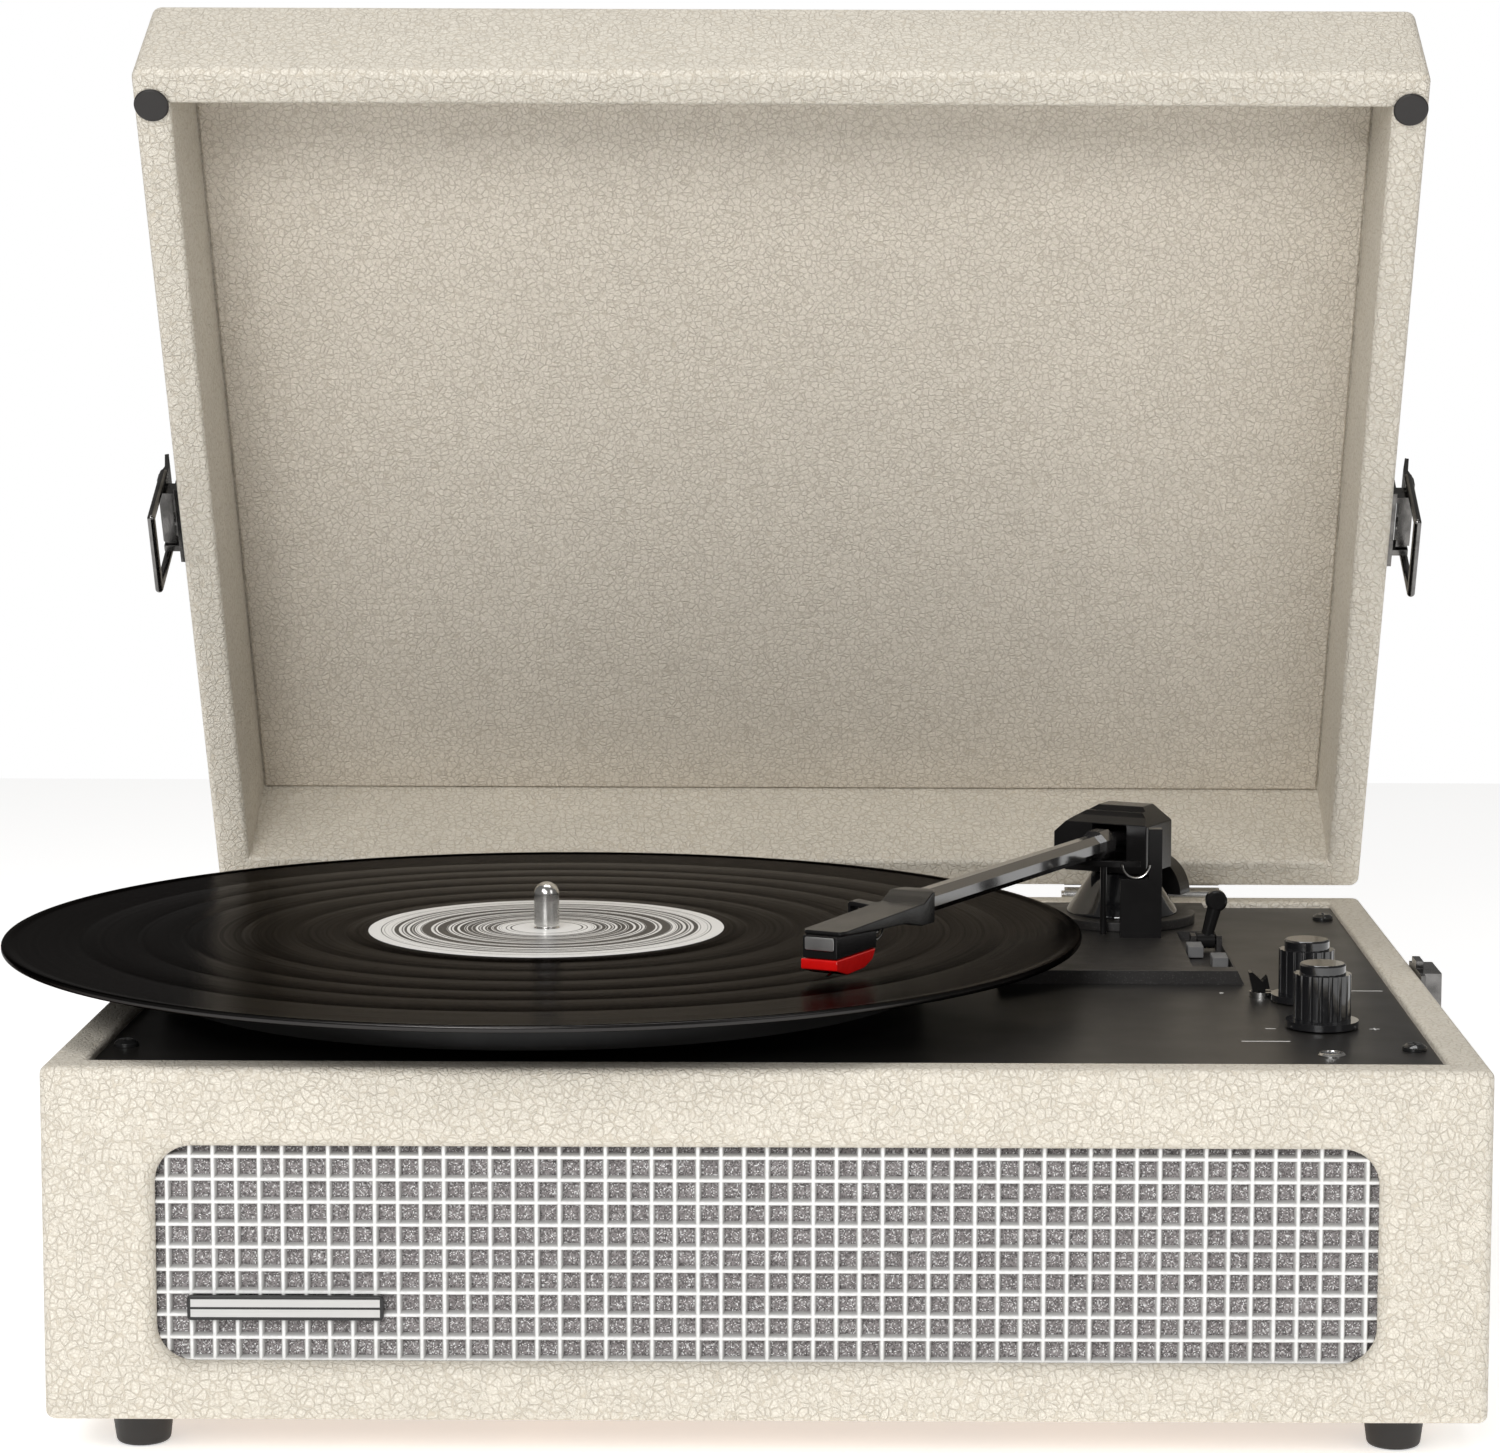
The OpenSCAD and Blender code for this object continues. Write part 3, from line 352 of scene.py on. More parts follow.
def woven(name, colour, thread, speck):
    """Plain weave: two sets of threads over and under each other, with dark specks and pale specks that are
    painted glints.
    """
    s = Shader(name)
    split = s.add("SeparateXYZ", {"Vector": s.place()})
    turn = 2 * math.pi / thread
    across = s.math("SINE", s.math("MULTIPLY", split.outputs["X"], turn))
    upward = s.math("SINE", s.math("MULTIPLY", split.outputs["Z"], turn))
    weave = s.math("MULTIPLY", across, upward)
    fuzz = s.noise(0.6 / thread, 3)
    threads = s.blend(fuzz, scaled(colour, 0.45), scaled(colour, 1.5))
    snapped = s.add("VectorMath", {0: s.place()}, operation="SNAP")
    snapped.inputs[1].default_value = (speck,) * 3
    specks = s.add("TexWhiteNoise", {"Vector": snapped.outputs[0]}).outputs["Value"]
    # painted highlight: the rare white specks stand for glints of light on the threads
    bright = s.steps(specks, (0.80, 0.0), (0.97, 1.0))
    dark = s.steps(s.math("SUBTRACT", 1.0, specks), (0.5, 0.0), (0.95, 0.8))
    tone = s.blend(dark, s.blend(bright, threads, (1.0, 1.0, 1.0)), scaled(colour, 0.16))
    s.feed(Base_Color=tone, Roughness=0.85, Sheen_Weight=0.2, Sheen_Roughness=0.4)
    s.feed(Normal=s.bump(s.math("ADD", weave, fuzz), thread * 0.25, 0.8))
    return s.material


def grille_plastic(name, crest, flank_shade, front):
    """Light grey moulding, paler on the thin crests than on the faces that slope in behind them: painted shade
    that darkens the moulding the deeper it lies.
    """
    s = Shader(name)
    split = s.add("SeparateXYZ", {"Vector": s.place()})
    depth = s.math("MULTIPLY", s.math("SUBTRACT", split.outputs["Y"], front), 1000.0)
    # painted shade: colour runs from the crest grey to the darker flank grey with depth behind the front
    share = s.steps(depth, (0.08, 0.0), (0.45, 0.7), (1.0, 1.0))
    tone = s.blend(share, crest, flank_shade)
    s.feed(Base_Color=s.blend(s.steps(s.noise(900, 3), (0.4, 0.0), (0.8, 0.3)), tone, scaled(flank_shade, 0.9)))
    s.feed(Roughness=s.steps(s.noise(300, 3), (0.3, 0.4), (0.7, 0.52)))
    s.feed(Normal=s.bump(s.noise(1800, 3), 0.00003, 0.5))
    return s.material


def bordered_plate(name, box):
    """Brushed plate with a black enamelled border and one black line along its middle."""
    border, half_line = 0.9 * MM, 0.3 * MM
    black = (0.012, 0.012, 0.012)
    s = Shader(name)
    low, high = box
    split = s.add("SeparateXYZ", {"Vector": s.place()})
    reach = []
    for axis, a, b in (("X", low.x, high.x), ("Z", low.z, high.z)):
        off = s.math("ABSOLUTE", s.math("SUBTRACT", split.outputs[axis], (a + b) / 2))
        reach.append(s.math("SUBTRACT", (b - a) / 2, off))
    edge = s.math("LESS_THAN", s.math("MINIMUM", reach[0], reach[1]), border)
    line = s.math("GREATER_THAN", reach[1], (high.z - low.z) / 2 - half_line)
    ink = s.math("MAXIMUM", edge, line)
    brushed = s.noise(1400, 3, stretch=(0.03, 1, 1))
    metal = s.blend(brushed, (0.50, 0.495, 0.48), (0.66, 0.655, 0.64))
    s.feed(Base_Color=s.blend(ink, metal, black))
    s.feed(Metallic=s.math("SUBTRACT", 1.0, ink), Roughness=s.steps(brushed, (0.3, 0.28), (0.7, 0.42)))
    s.feed(Normal=s.bump(s.math("SUBTRACT", brushed, ink), 0.00003, 0.5))
    return s.material


def felt(name, colour):
    """Matted short fibres with a little pale lint."""
    s = Shader(name)
    hair = s.noise(1400, 5)
    lint = s.steps(s.noise(600, 4), (0.6, 0.0), (0.75, 0.4))
    s.feed(Base_Color=s.blend(lint, s.blend(hair, colour, scaled(colour, 2.2)), (0.2, 0.2, 0.2)))
    s.feed(Roughness=0.95, Sheen_Weight=0.5, Sheen_Roughness=0.5, Normal=s.bump(hair, 0.0003, 0.9))
    return s.material


def fibreboard(name, colour):
    """Pressed board with pale and dark fibres and a faint saw texture."""
    s = Shader(name)
    fibre = s.noise(320, 6, stretch=(1, 0.25, 1))
    blotch = s.noise(18, 4)
    tone = s.blend(s.steps(fibre, (0.35, 0.0), (0.65, 1.0)), scaled(colour, 0.68), scaled(colour, 1.25))
    s.feed(Base_Color=s.blend(s.steps(blotch, (0.4, 0.0), (0.8, 0.4)), tone, scaled(colour, 0.6)))
    s.feed(Roughness=0.8, Normal=s.bump(fibre, 0.0002, 0.6))
    return s.material


def circuit(name):
    """Green lacquered board with copper tracks and tinned dots."""
    s = Shader(name)
    grid = s.add("TexBrick", {"Vector": s.place()}, Scale=110.0, offset=0.5)
    grid.inputs["Mortar Size"].default_value = 0.03
    dots = s.add("TexVoronoi", {"Vector": s.place()}, Scale=260.0)
    pads = s.steps(dots.outputs["Distance"], (0.12, 1.0), (0.16, 0.0))
    base = s.blend(grid.outputs["Fac"], (0.02, 0.12, 0.05), (0.06, 0.26, 0.10))
    s.feed(Base_Color=s.blend(pads, base, (0.6, 0.6, 0.55)), Roughness=0.35)
    s.feed(Normal=s.bump(grid.outputs["Fac"], 0.00005, 0.5))
    return s.material


def clear_red(name):
    """Glossy translucent red plastic."""
    s = Shader(name)
    cloud = s.noise(400, 3)
    s.feed(Base_Color=s.blend(cloud, (0.62, 0.004, 0.004), (0.82, 0.012, 0.010)), Roughness=0.12)
    s.feed(Subsurface_Weight=0.35, Subsurface_Scale=0.002, Coat_Weight=0.6, Coat_Roughness=0.04)
    s.feed(Normal=s.bump(s.noise(900, 2), 0.00001, 0.4))
    return s.material


def lens(name):
    """Smoky clear lens of the power light."""
    s = Shader(name)
    cloud = s.noise(1200, 2)
    s.feed(Base_Color=s.blend(cloud, (0.06, 0.06, 0.065), (0.13, 0.13, 0.14)), Roughness=0.06)
    s.feed(Coat_Weight=0.8, Coat_Roughness=0.03, Specular_IOR_Level=0.8)
    s.feed(Normal=s.bump(s.noise(2500, 2), 0.00001, 0.3))
    return s.material


def print_ink(name):
    """Screen printed white with slightly broken edges."""
    s = Shader(name)
    worn = s.noise(2400, 3)
    thin = s.steps(worn, (0.55, 0.0), (0.75, 1.0))
    s.feed(Base_Color=s.blend(thin, (0.80, 0.80, 0.78), (0.45, 0.44, 0.42)))
    s.feed(Roughness=0.5, Normal=s.bump(worn, 0.00001, 0.4))
    return s.material


spindle_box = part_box("spindle")
SPINDLE = (spindle_box[0] + spindle_box[1]) / 2

# each leather's second, darker colour is painted shade in its creases
CREAM = (0.80, 0.75, 0.655)
CREAM_CREASE_SHADE = (0.56, 0.49, 0.385)
GREIGE = (0.90, 0.83, 0.72)
GREIGE_CREASE_SHADE = (0.52, 0.45, 0.355)

looks = {
    "case_leatherette": leather("case_leatherette", CREAM, CREAM_CREASE_SHADE, 0.0021, 0.00034),
    "lid_lining": leather("lid_lining", GREIGE, GREIGE_CREASE_SHADE, 0.0018, 0.00030),
    "raw_board": fibreboard("raw_board", (0.42, 0.28, 0.15)),
    "deck": deck_black("deck"),
    "black_plastic": moulded("black_plastic", (0.0095, 0.009, 0.009), 0.2, 0.0008, 0.00002, spread=0.08,
                              gloss=0.22),
    "gloss_black": moulded("gloss_black", (0.010, 0.010, 0.011), 0.10, 0.002, 0.00001, coat=0.8, spread=0.05),
    # crest grey, then the darker grey that paints shade on the sloping faces
    "grille": grille_plastic("grille", (0.80, 0.80, 0.79), (0.46, 0.455, 0.445),
                             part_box("speaker_grille")[0].y),
    "speaker_cloth": woven("speaker_cloth", (0.36, 0.33, 0.33), 0.0006, 0.0003),
    "speaker_metal": moulded("speaker_metal", (0.06, 0.06, 0.065), 0.4, 0.0012, 0.00004, metal=0.6),
    "cone_paper": felt("cone_paper", (0.03, 0.03, 0.03)),
    "steel": polished("steel", (0.74, 0.73, 0.71), 0.16, 0.8),
    "dark_chrome": polished("dark_chrome", (0.20, 0.195, 0.19), 0.13, 0.5, 0.00002),
    "rubber": moulded("rubber", (0.017, 0.015, 0.014), 0.5, 0.0007, 0.00006),
    "brass": polished("brass", (0.72, 0.50, 0.20), 0.2, 0.7),
    "badge": bordered_plate("badge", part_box("front_badge")),
    "platter": moulded("platter", (0.03, 0.03, 0.03), 0.45),
    "felt": felt("felt", (0.015, 0.015, 0.016)),
    "vinyl": vinyl("vinyl", SPINDLE),
    "paper_label": paper_label("paper_label", SPINDLE),
    "arm_gloss": moulded("arm_gloss", (0.02, 0.019, 0.019), 0.12, 0.0015, 0.00001, coat=1.0, spread=0.05),
    "stylus_red": clear_red("stylus_red"),
    "switch_grey": moulded("switch_grey", (0.13, 0.13, 0.13), 0.45),
    "led": lens("led"),
    "black_screw": moulded("black_screw", (0.012, 0.012, 0.012), 0.2, 0.001, 0.00002, coat=0.4, spread=0.08),
    "circuit": circuit("circuit"),
}
arm_base_black = speckled_black("arm_base_black")
print_white = print_ink("print_white")
arm_plate = polished("arm_plate", (0.66, 0.65, 0.64), 0.3, 0.85, 0.00004)


def paint(obj, material):
    """Gives a piece one material in place of the ones it has."""
    obj.data.materials.clear()
    obj.data.materials.append(material)


SHARP = math.radians(32)


def soften(name, width):
    """Rounds a CAD node's sharp edges with modifiers and leaves its mesh alone."""
    obj = nodes[name]
    weld = obj.modifiers.new("weld", "WELD")
    weld.merge_threshold = 0.000002
    flat = obj.modifiers.new("flat", "DECIMATE")
    flat.decimate_type = "DISSOLVE"
    flat.angle_limit = math.radians(0.8)
    bevel = obj.modifiers.new("bevel", "BEVEL")
    bevel.width = width
    bevel.segments = 2
    bevel.limit_method = "ANGLE"
    bevel.angle_limit = SHARP
    bevel.miter_outer = "MITER_ARC"
    normals = obj.modifiers.new("normals", "WEIGHTED_NORMAL")
    normals.keep_sharp = False


# ---------- mesh helpers ----------


def finish_mesh(name, mesh, body, slot, material=None, smooth=35):
    """Turns a bmesh into a piece that rides on a body."""
    bmesh.ops.recalc_face_normals(mesh, faces=mesh.faces)
    data = bpy.data.meshes.new(name)
    mesh.to_mesh(data)
    mesh.free()
    obj = bpy.data.objects.new(name, data)
    bpy.context.scene.collection.objects.link(obj)
    data.shade_smooth()
    data.set_sharp_from_angle(angle=math.radians(smooth))
    data.materials.append(material or looks[slot])
    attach(obj, body)
    return obj


def add_loft(mesh, rings, caps=True, loop=False):
    """Quads between rings of equal length; caps close the ends, loop joins the last ring to the first."""
    made = [[mesh.verts.new(p) for p in ring] for ring in rings]
    pairs = list(zip(made, made[1:])) + ([(made[-1], made[0])] if loop else [])
    for low, high in pairs:
        for i in range(len(low)):
            k = (i + 1) % len(low)
            mesh.faces.new((low[i], low[k], high[k], high[i]))
    if caps and not loop:
        mesh.faces.new(list(reversed(made[0])))
        mesh.faces.new(made[-1])


def rounded_outline(width, depth, radius, steps=6):
    """Points round a centred rectangle with rounded corners, anticlockwise."""
    points = []
    for corner, (sx, sy) in enumerate(((1, 1), (-1, 1), (-1, -1), (1, -1))):
        for k in range(steps + 1):
            a = math.pi / 2 * (corner + k / steps)
            points.append((sx * (width / 2 - radius) + radius * math.cos(a),
                           sy * (depth / 2 - radius) + radius * math.sin(a)))
    return points


def arc(centre, radius, start, end, steps):
    """Points on an arc in a profile's plane, angles in degrees."""
    turn = [math.radians(start + (end - start) * k / steps) for k in range(steps + 1)]
    return [(centre[0] + radius * math.cos(a), centre[1] + radius * math.sin(a)) for a in turn]


def lathe(mesh, centre, profile, steps=96, loop=True):
    """Turns (radius, height) points round an upright axis through centre."""
    rings = []
    for r, z in profile:
        rings.append([Vector((centre[0] + r * math.cos(2 * math.pi * i / steps),
                              centre[1] + r * math.sin(2 * math.pi * i / steps), z)) for i in range(steps)])
    add_loft(mesh, rings, caps=not loop, loop=loop)


def transform(mesh, matrix):
    bmesh.ops.transform(mesh, matrix=matrix, verts=mesh.verts)


def cut(obj, mesh, operation="DIFFERENCE"):
    """Applies a boolean with a helper mesh, which is then removed."""
    bmesh.ops.recalc_face_normals(mesh, faces=mesh.faces)
    data = bpy.data.meshes.new("cutter")
    mesh.to_mesh(data)
    mesh.free()
    cutter = bpy.data.objects.new("cutter", data)
    bpy.context.scene.collection.objects.link(cutter)
    boolean = obj.modifiers.new("cut", "BOOLEAN")
    boolean.operation = operation
    boolean.object = cutter
    boolean.solver = "EXACT"
    graph = bpy.context.evaluated_depsgraph_get()
    made = bpy.data.meshes.new_from_object(obj.evaluated_get(graph))
    obj.modifiers.clear()
    old = obj.data
    obj.data = made
    bpy.data.meshes.remove(old)
    bpy.data.objects.remove(cutter)
    made.shade_smooth()
    made.set_sharp_from_angle(angle=math.radians(35))


# ---------- case ----------

case_low, case_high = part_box("base_case")
deck_low, deck_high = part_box("deck_plate")
grille_low, grille_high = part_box("speaker_grille")
WALL = deck_low.x - case_low.x
RIM = case_high.z
CORNER = 3 * MM
LID_HEIGHT = 44 * MM
LID_BOARD = 4 * MM
LID_OPEN = math.radians(61.5)
hinge = Vector(joints["lid_hinge"]["pos_m"])
on_lid = Matrix.Translation(hinge) @ Matrix.Rotation(-LID_OPEN, 4, "X") @ Matrix.Translation(-hinge)


def wall_rings(profile):
    """Rings round the case for (distance in from the outer face, height) points."""
    middle = (case_low + case_high) / 2
    rings = []
    width, depth = case_high.x - case_low.x, case_high.y - case_low.y
    for inward, z in profile:
        corner = max(CORNER - inward, 0.4 * MM)
        outline = rounded_outline(width - 2 * inward, depth - 2 * inward, corner)
        rings.append([Vector((middle.x + x, middle.y + y, z)) for x, y in outline])
    return rings


def opening_rings(low, high, corner, profile):
    """Rings round an upright opening for (distance outwards, distance behind the case's front) points."""
    middle = (low + high) / 2
    rings = []
    for out, back in profile:
        width, tall = high.x - low.x + 2 * out, high.z - low.z + 2 * out
        outline = rounded_outline(width, tall, corner + out, 10)
        rings.append([Vector((middle.x + x, case_low.y + back, middle.z + z)) for x, z in outline])
    return rings


GRILLE_LAP = 2.9 * MM
GRILLE_CORNER = 9.5 * MM
ROLL = 4.6 * MM
PANEL_LAP = 4 * MM


def make_case():
    """The covered case: a rounded wall with the grille's rolled opening and the rear panel's hole."""
    edge, inner = 2.2 * MM, 1.4 * MM
    low, high = case_low.z, case_high.z
    profile = [(edge + x, z) for x, z in arc((0, low + edge), edge, 270, 180, 5)]
    profile += [(edge + x, z) for x, z in arc((0, high - edge), edge, 180, 90, 6)]
    profile += [(WALL - inner + x, z) for x, z in arc((0, high - inner), inner, 90, 0, 5)]
    profile += [(WALL, low)]
    mesh = bmesh.new()
    add_loft(mesh, wall_rings(profile), loop=True)
    case = finish_mesh("case_cover", mesh, "base", "case_leatherette")
    lap = Vector((GRILLE_LAP, 0, GRILLE_LAP))
    low, high = grille_low + lap, grille_high - lap
    depth = grille_low.y - case_low.y
    roll = [(ROLL * (1 - math.sin(a)), depth * (1 - math.cos(a)))
            for a in (math.pi / 2 * k / 9 for k in range(10))]
    mouth = [(ROLL, -1 * MM)] + roll + [(0, depth + 0.01 * MM)]
    mesh = bmesh.new()
    add_loft(mesh, opening_rings(low, high, GRILLE_CORNER, mouth))
    cut(case, mesh)
    seat = [(0.1 * MM, depth), (0.1 * MM, WALL + MM)]
    mesh = bmesh.new()
    add_loft(mesh, opening_rings(grille_low, grille_high, 2 * MM, seat))
    cut(case, mesh)
    panel_low, panel_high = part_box("jack_panel")
    inset = Vector((PANEL_LAP, 0, PANEL_LAP))
    back = case_high.y - case_low.y
    through = [(0, back - WALL - MM), (0, back + MM)]
    mesh = bmesh.new()
    add_loft(mesh, opening_rings(panel_low + inset, panel_high - inset, 3 * MM, through))
    cut(case, mesh)
    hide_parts("base_case")


# ---------- grille and cloth ----------

PITCH = 5.87 * MM
COLUMNS = 53
ROWS = 9
BAR = 1.7 * MM
CREST = 0.55 * MM
CREST_EDGE = (0.14 * MM, 0.16 * MM)
FLANK_DEPTH = 1.5 * MM


def tile(mesh, centre, y_front, y_back):
    """One square of the grille: a narrow crest, faces that slope in to the bar's full width, and a back."""
    half = PITCH / 2
    crest = half - CREST / 2
    hole = half - BAR / 2
    steps = [(half, y_front), (crest, y_front), (crest - CREST_EDGE[0], y_front + CREST_EDGE[1]),
             (hole, y_front + FLANK_DEPTH), (hole, y_back), (half, y_back)]
    corners = ((-1, -1), (1, -1), (1, 1), (-1, 1))
    rings = []
    for reach, y in steps:
        rings.append([Vector((centre[0] + sx * reach, y, centre[1] + sz * reach)) for sx, sz in corners])
    add_loft(mesh, rings, caps=False)


def make_grille():
    """The grille moulding: a field of tiles trimmed to the opening's rounded outline."""
    middle = (grille_low + grille_high) / 2
    top_bar = grille_high.z - GRILLE_LAP - PITCH / 2
    mesh = bmesh.new()
    for column in range(-1, COLUMNS):
        for row in range(-1, ROWS):
            x = middle.x + (column - (COLUMNS - 2) / 2) * PITCH
            z = top_bar - (row + 0.5) * PITCH
            tile(mesh, (x, z), grille_low.y, grille_high.y)
    bmesh.ops.remove_doubles(mesh, verts=mesh.verts, dist=0.01 * MM)
    grille = finish_mesh("grille_moulding", mesh, "base", "grille", smooth=25)
    lap = Vector((GRILLE_LAP, 0, GRILLE_LAP))
    low, high = grille_low + lap, grille_high - lap
    depth = grille_low.y - case_low.y
    mesh = bmesh.new()
    reach = [(-0.05 * MM, depth - MM), (-0.05 * MM, depth + 5 * MM)]
    add_loft(mesh, opening_rings(low, high, GRILLE_CORNER, reach))
    cut(grille, mesh, "INTERSECT")
    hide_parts("speaker_grille")


def make_cloth():
    """The speaker cloth: a thin flat sheet stretched over the baffle board."""
    low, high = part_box("speaker_cloth")
    inset = 0.1 * MM
    columns, rows = 120, 24
    mesh = bmesh.new()
    grid = []
    for k in range(rows + 1):
        line = []
        for i in range(columns + 1):
            x = low.x + inset + (high.x - low.x - 2 * inset) * i / columns
            z = low.z + inset + (high.z - low.z - 2 * inset) * k / rows
            line.append(mesh.verts.new((x, low.y + 0.05 * MM, z)))
        grid.append(line)
    for k in range(rows):
        for i in range(columns):
            mesh.faces.new((grid[k][i], grid[k][i + 1], grid[k + 1][i + 1], grid[k + 1][i]))
    thick = 0.4 * MM
    made = bmesh.ops.extrude_face_region(mesh, geom=list(mesh.faces))
    moved = [v for v in made["geom"] if isinstance(v, bmesh.types.BMVert)]
    bmesh.ops.translate(mesh, verts=moved, vec=(0, thick, 0))
    cloth = finish_mesh("grille_cloth", mesh, "base", "speaker_cloth")
    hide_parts("speaker_cloth")


# ---------- lid ----------


def make_lid():
    """The lid's covered shell, open downwards when shut, turned to its shown place."""
    outer, mouth, inner = 2.6 * MM, 2.4 * MM, 1.6 * MM
    top = RIM + LID_HEIGHT
    ceiling = top - LID_BOARD
    profile = [(WALL, ceiling)]
    profile += [(WALL - inner + x, z) for x, z in arc((0, RIM + inner), inner, 0, -90, 5)]
    profile += [(mouth + x, z) for x, z in arc((0, RIM + mouth), mouth, 270, 180, 6)]
    profile += [(outer + x, z) for x, z in arc((0, top - outer), outer, 180, 90, 6)]
    mesh = bmesh.new()
    add_loft(mesh, wall_rings(profile))
    transform(mesh, on_lid)
    lid = finish_mesh("lid_cover", mesh, "lid", "case_leatherette")
    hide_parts("lid_shell")


def make_lining():
    """The lid's lining board: a flat panel whose covered edges roll back to the lid's top board."""
    gap, thick, flat = 0.5 * MM, 1 * MM, 12 * MM
    ceiling = RIM + LID_HEIGHT - LID_BOARD
    edge = 0.8 * MM
    profile = [(WALL + gap, ceiling)]
    profile += [(WALL + gap + edge + x, z) for x, z in arc((0, ceiling - thick + edge), edge, 180, 270, 5)]
    profile += [(WALL + gap + flat, ceiling - thick)]
    mesh = bmesh.new()
    add_loft(mesh, wall_rings(profile))
    transform(mesh, on_lid)
    lining = finish_mesh("lid_lining_panel", mesh, "lid", "lid_lining")
    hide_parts("lid_lining")


# ---------- record ----------

TRACK_GAPS = (0.80, 0.62, 0.47, 0.30, 0.13)


def make_record():
    """The record, with its edge bead, lead-in, gaps between tracks and raised label, and the paper label."""
    low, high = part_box("record_disc")
    label_low, label_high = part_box("record_label")
    radius = (high.x - low.x) / 2
    bore = 3.62 * MM
    label = (label_high.x - label_low.x) / 2
    base, top = low.z, high.z
    groove = top - 0.36 * MM
    bead = 0.72 * MM
    profile = [(bore, base), (label + 2 * MM, base), (label + 4 * MM, base + 0.15 * MM),
               (radius - 4 * MM, base + 0.15 * MM), (radius - 2.4 * MM, base)]
    profile += arc((radius - bead, base + bead), bead, -90, 0, 5)
    profile += arc((radius - bead, top - bead), bead, 0, 90, 5)
    profile += [(radius - 2.0 * MM, top - 0.05 * MM), (radius - 3.1 * MM, groove + 0.06 * MM),
                (radius - 4.2 * MM, groove)]
    for share in TRACK_GAPS:
        gap = label + 9 * MM + (radius - label - 13 * MM) * share
        profile += [(gap + 0.9 * MM, groove), (gap + 0.55 * MM, groove - 0.03 * MM),
                    (gap - 0.55 * MM, groove - 0.03 * MM), (gap - 0.9 * MM, groove)]
    run_out = groove - 0.08 * MM
    profile += [(label + 9 * MM, groove), (label + 8 * MM, run_out), (label + 6 * MM, run_out),
                (label + 4 * MM, label_low.z - 0.02 * MM), (label + 0.6 * MM, label_low.z),
                (bore, label_low.z)]
    mesh = bmesh.new()
    lathe(mesh, SPINDLE, profile, 192)
    disc = finish_mesh("record", mesh, "platter", "vinyl", smooth=50)
    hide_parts("record_disc")
    edge = 0.06 * MM
    profile = [(bore, label_low.z), (label - edge, label_low.z), (label, label_low.z + edge),
               (label - edge, label_high.z), (label * 0.35, label_high.z),
               (label * 0.34, label_high.z - edge), (label * 0.33, label_high.z), (bore, label_high.z)]
    mesh = bmesh.new()
    lathe(mesh, SPINDLE, profile, 160)
    paper = finish_mesh("label", mesh, "platter", "paper_label")
    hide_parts("record_label")


def make_mat():
    """The felt disc between the platter and the record."""
    low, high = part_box("platter_mat")
    radius = (high.x - low.x) / 2
    edge = 0.5 * MM
    hole = 6 * MM
    top = high.z - 0.05 * MM
    profile = [(hole, low.z)] + arc((radius - edge, low.z + edge), edge, -90, 0, 3)
    profile += arc((radius - edge, top - edge), edge, 0, 90, 3) + [(hole, top)]
    mesh = bmesh.new()
    lathe(mesh, SPINDLE, profile, 128)
    mat = finish_mesh("felt_mat", mesh, "platter", "felt")
    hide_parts("platter_mat")


# ---------- small fittings ----------


def add_screw(mesh, place, outwards, radius=3 * MM, height=1.5 * MM):
    """A pan head with a cross recess, its underside at place, facing outwards."""
    start = bmesh.new()
    side = height * 0.35
    dome = [(radius * math.cos(a), side + (height - side) * math.sin(a))
            for a in (math.pi / 8 * k for k in (1, 2, 3))]
    arm, width, sunk = radius * 0.5, radius * 0.13, height * 0.5
    lathe(start, (0, 0), [(radius, 0), (radius, side)] + dome, 32, loop=False)
    top = max(start.faces, key=lambda f: f.calc_center_median().z)
    bmesh.ops.delete(start, geom=[top], context="FACES_ONLY")
    rim = [v for v in start.verts if v.co.z > dome[-1][1] - 0.001 * MM]
    cross = []
    for k in range(4):
        a = math.pi / 2 * k
        c, s = math.cos(a), math.sin(a)
        for x, y in ((width, -width), (arm, -width), (arm, width)):
            cross.append((x * c - y * s, x * s + y * c))
    upper = [start.verts.new((x, y, height)) for x, y in cross]
    lower = [start.verts.new((x * 0.7, y * 0.7, height - sunk)) for x, y in cross]
    for i in range(12):
        k = (i + 1) % 12
        start.faces.new((upper[i], upper[k], lower[k], lower[i]))
    start.faces.new(list(reversed(lower)))
    bridge(start, rim, upper)
    direction = Vector(outwards).normalized()
    matrix = Matrix.Translation(place) @ direction.to_track_quat("Z", "Y").to_matrix().to_4x4()
    transform(start, matrix)
    data = bpy.data.meshes.new("screw")
    start.to_mesh(data)
    start.free()
    mesh.from_mesh(data)
    bpy.data.meshes.remove(data)


def bridge(mesh, outer, inner):
    """Triangles between two rings of different length, taken by angle about the origin."""
    def angle(v):
        return math.atan2(v.co.y, v.co.x) % (2 * math.pi)
    outer = sorted(outer, key=angle)
    inner = sorted(inner, key=angle)
    past_turn = 9
    i = k = 0
    while i < len(outer) or k < len(inner):
        a = angle(outer[i]) if i < len(outer) else past_turn
        b = angle(inner[k]) if k < len(inner) else past_turn
        first, second = outer[i % len(outer)], inner[k % len(inner)]
        if a <= b:
            mesh.faces.new((first, outer[(i + 1) % len(outer)], second))
            i += 1
        else:
            mesh.faces.new((first, inner[(k + 1) % len(inner)], second))
            k += 1


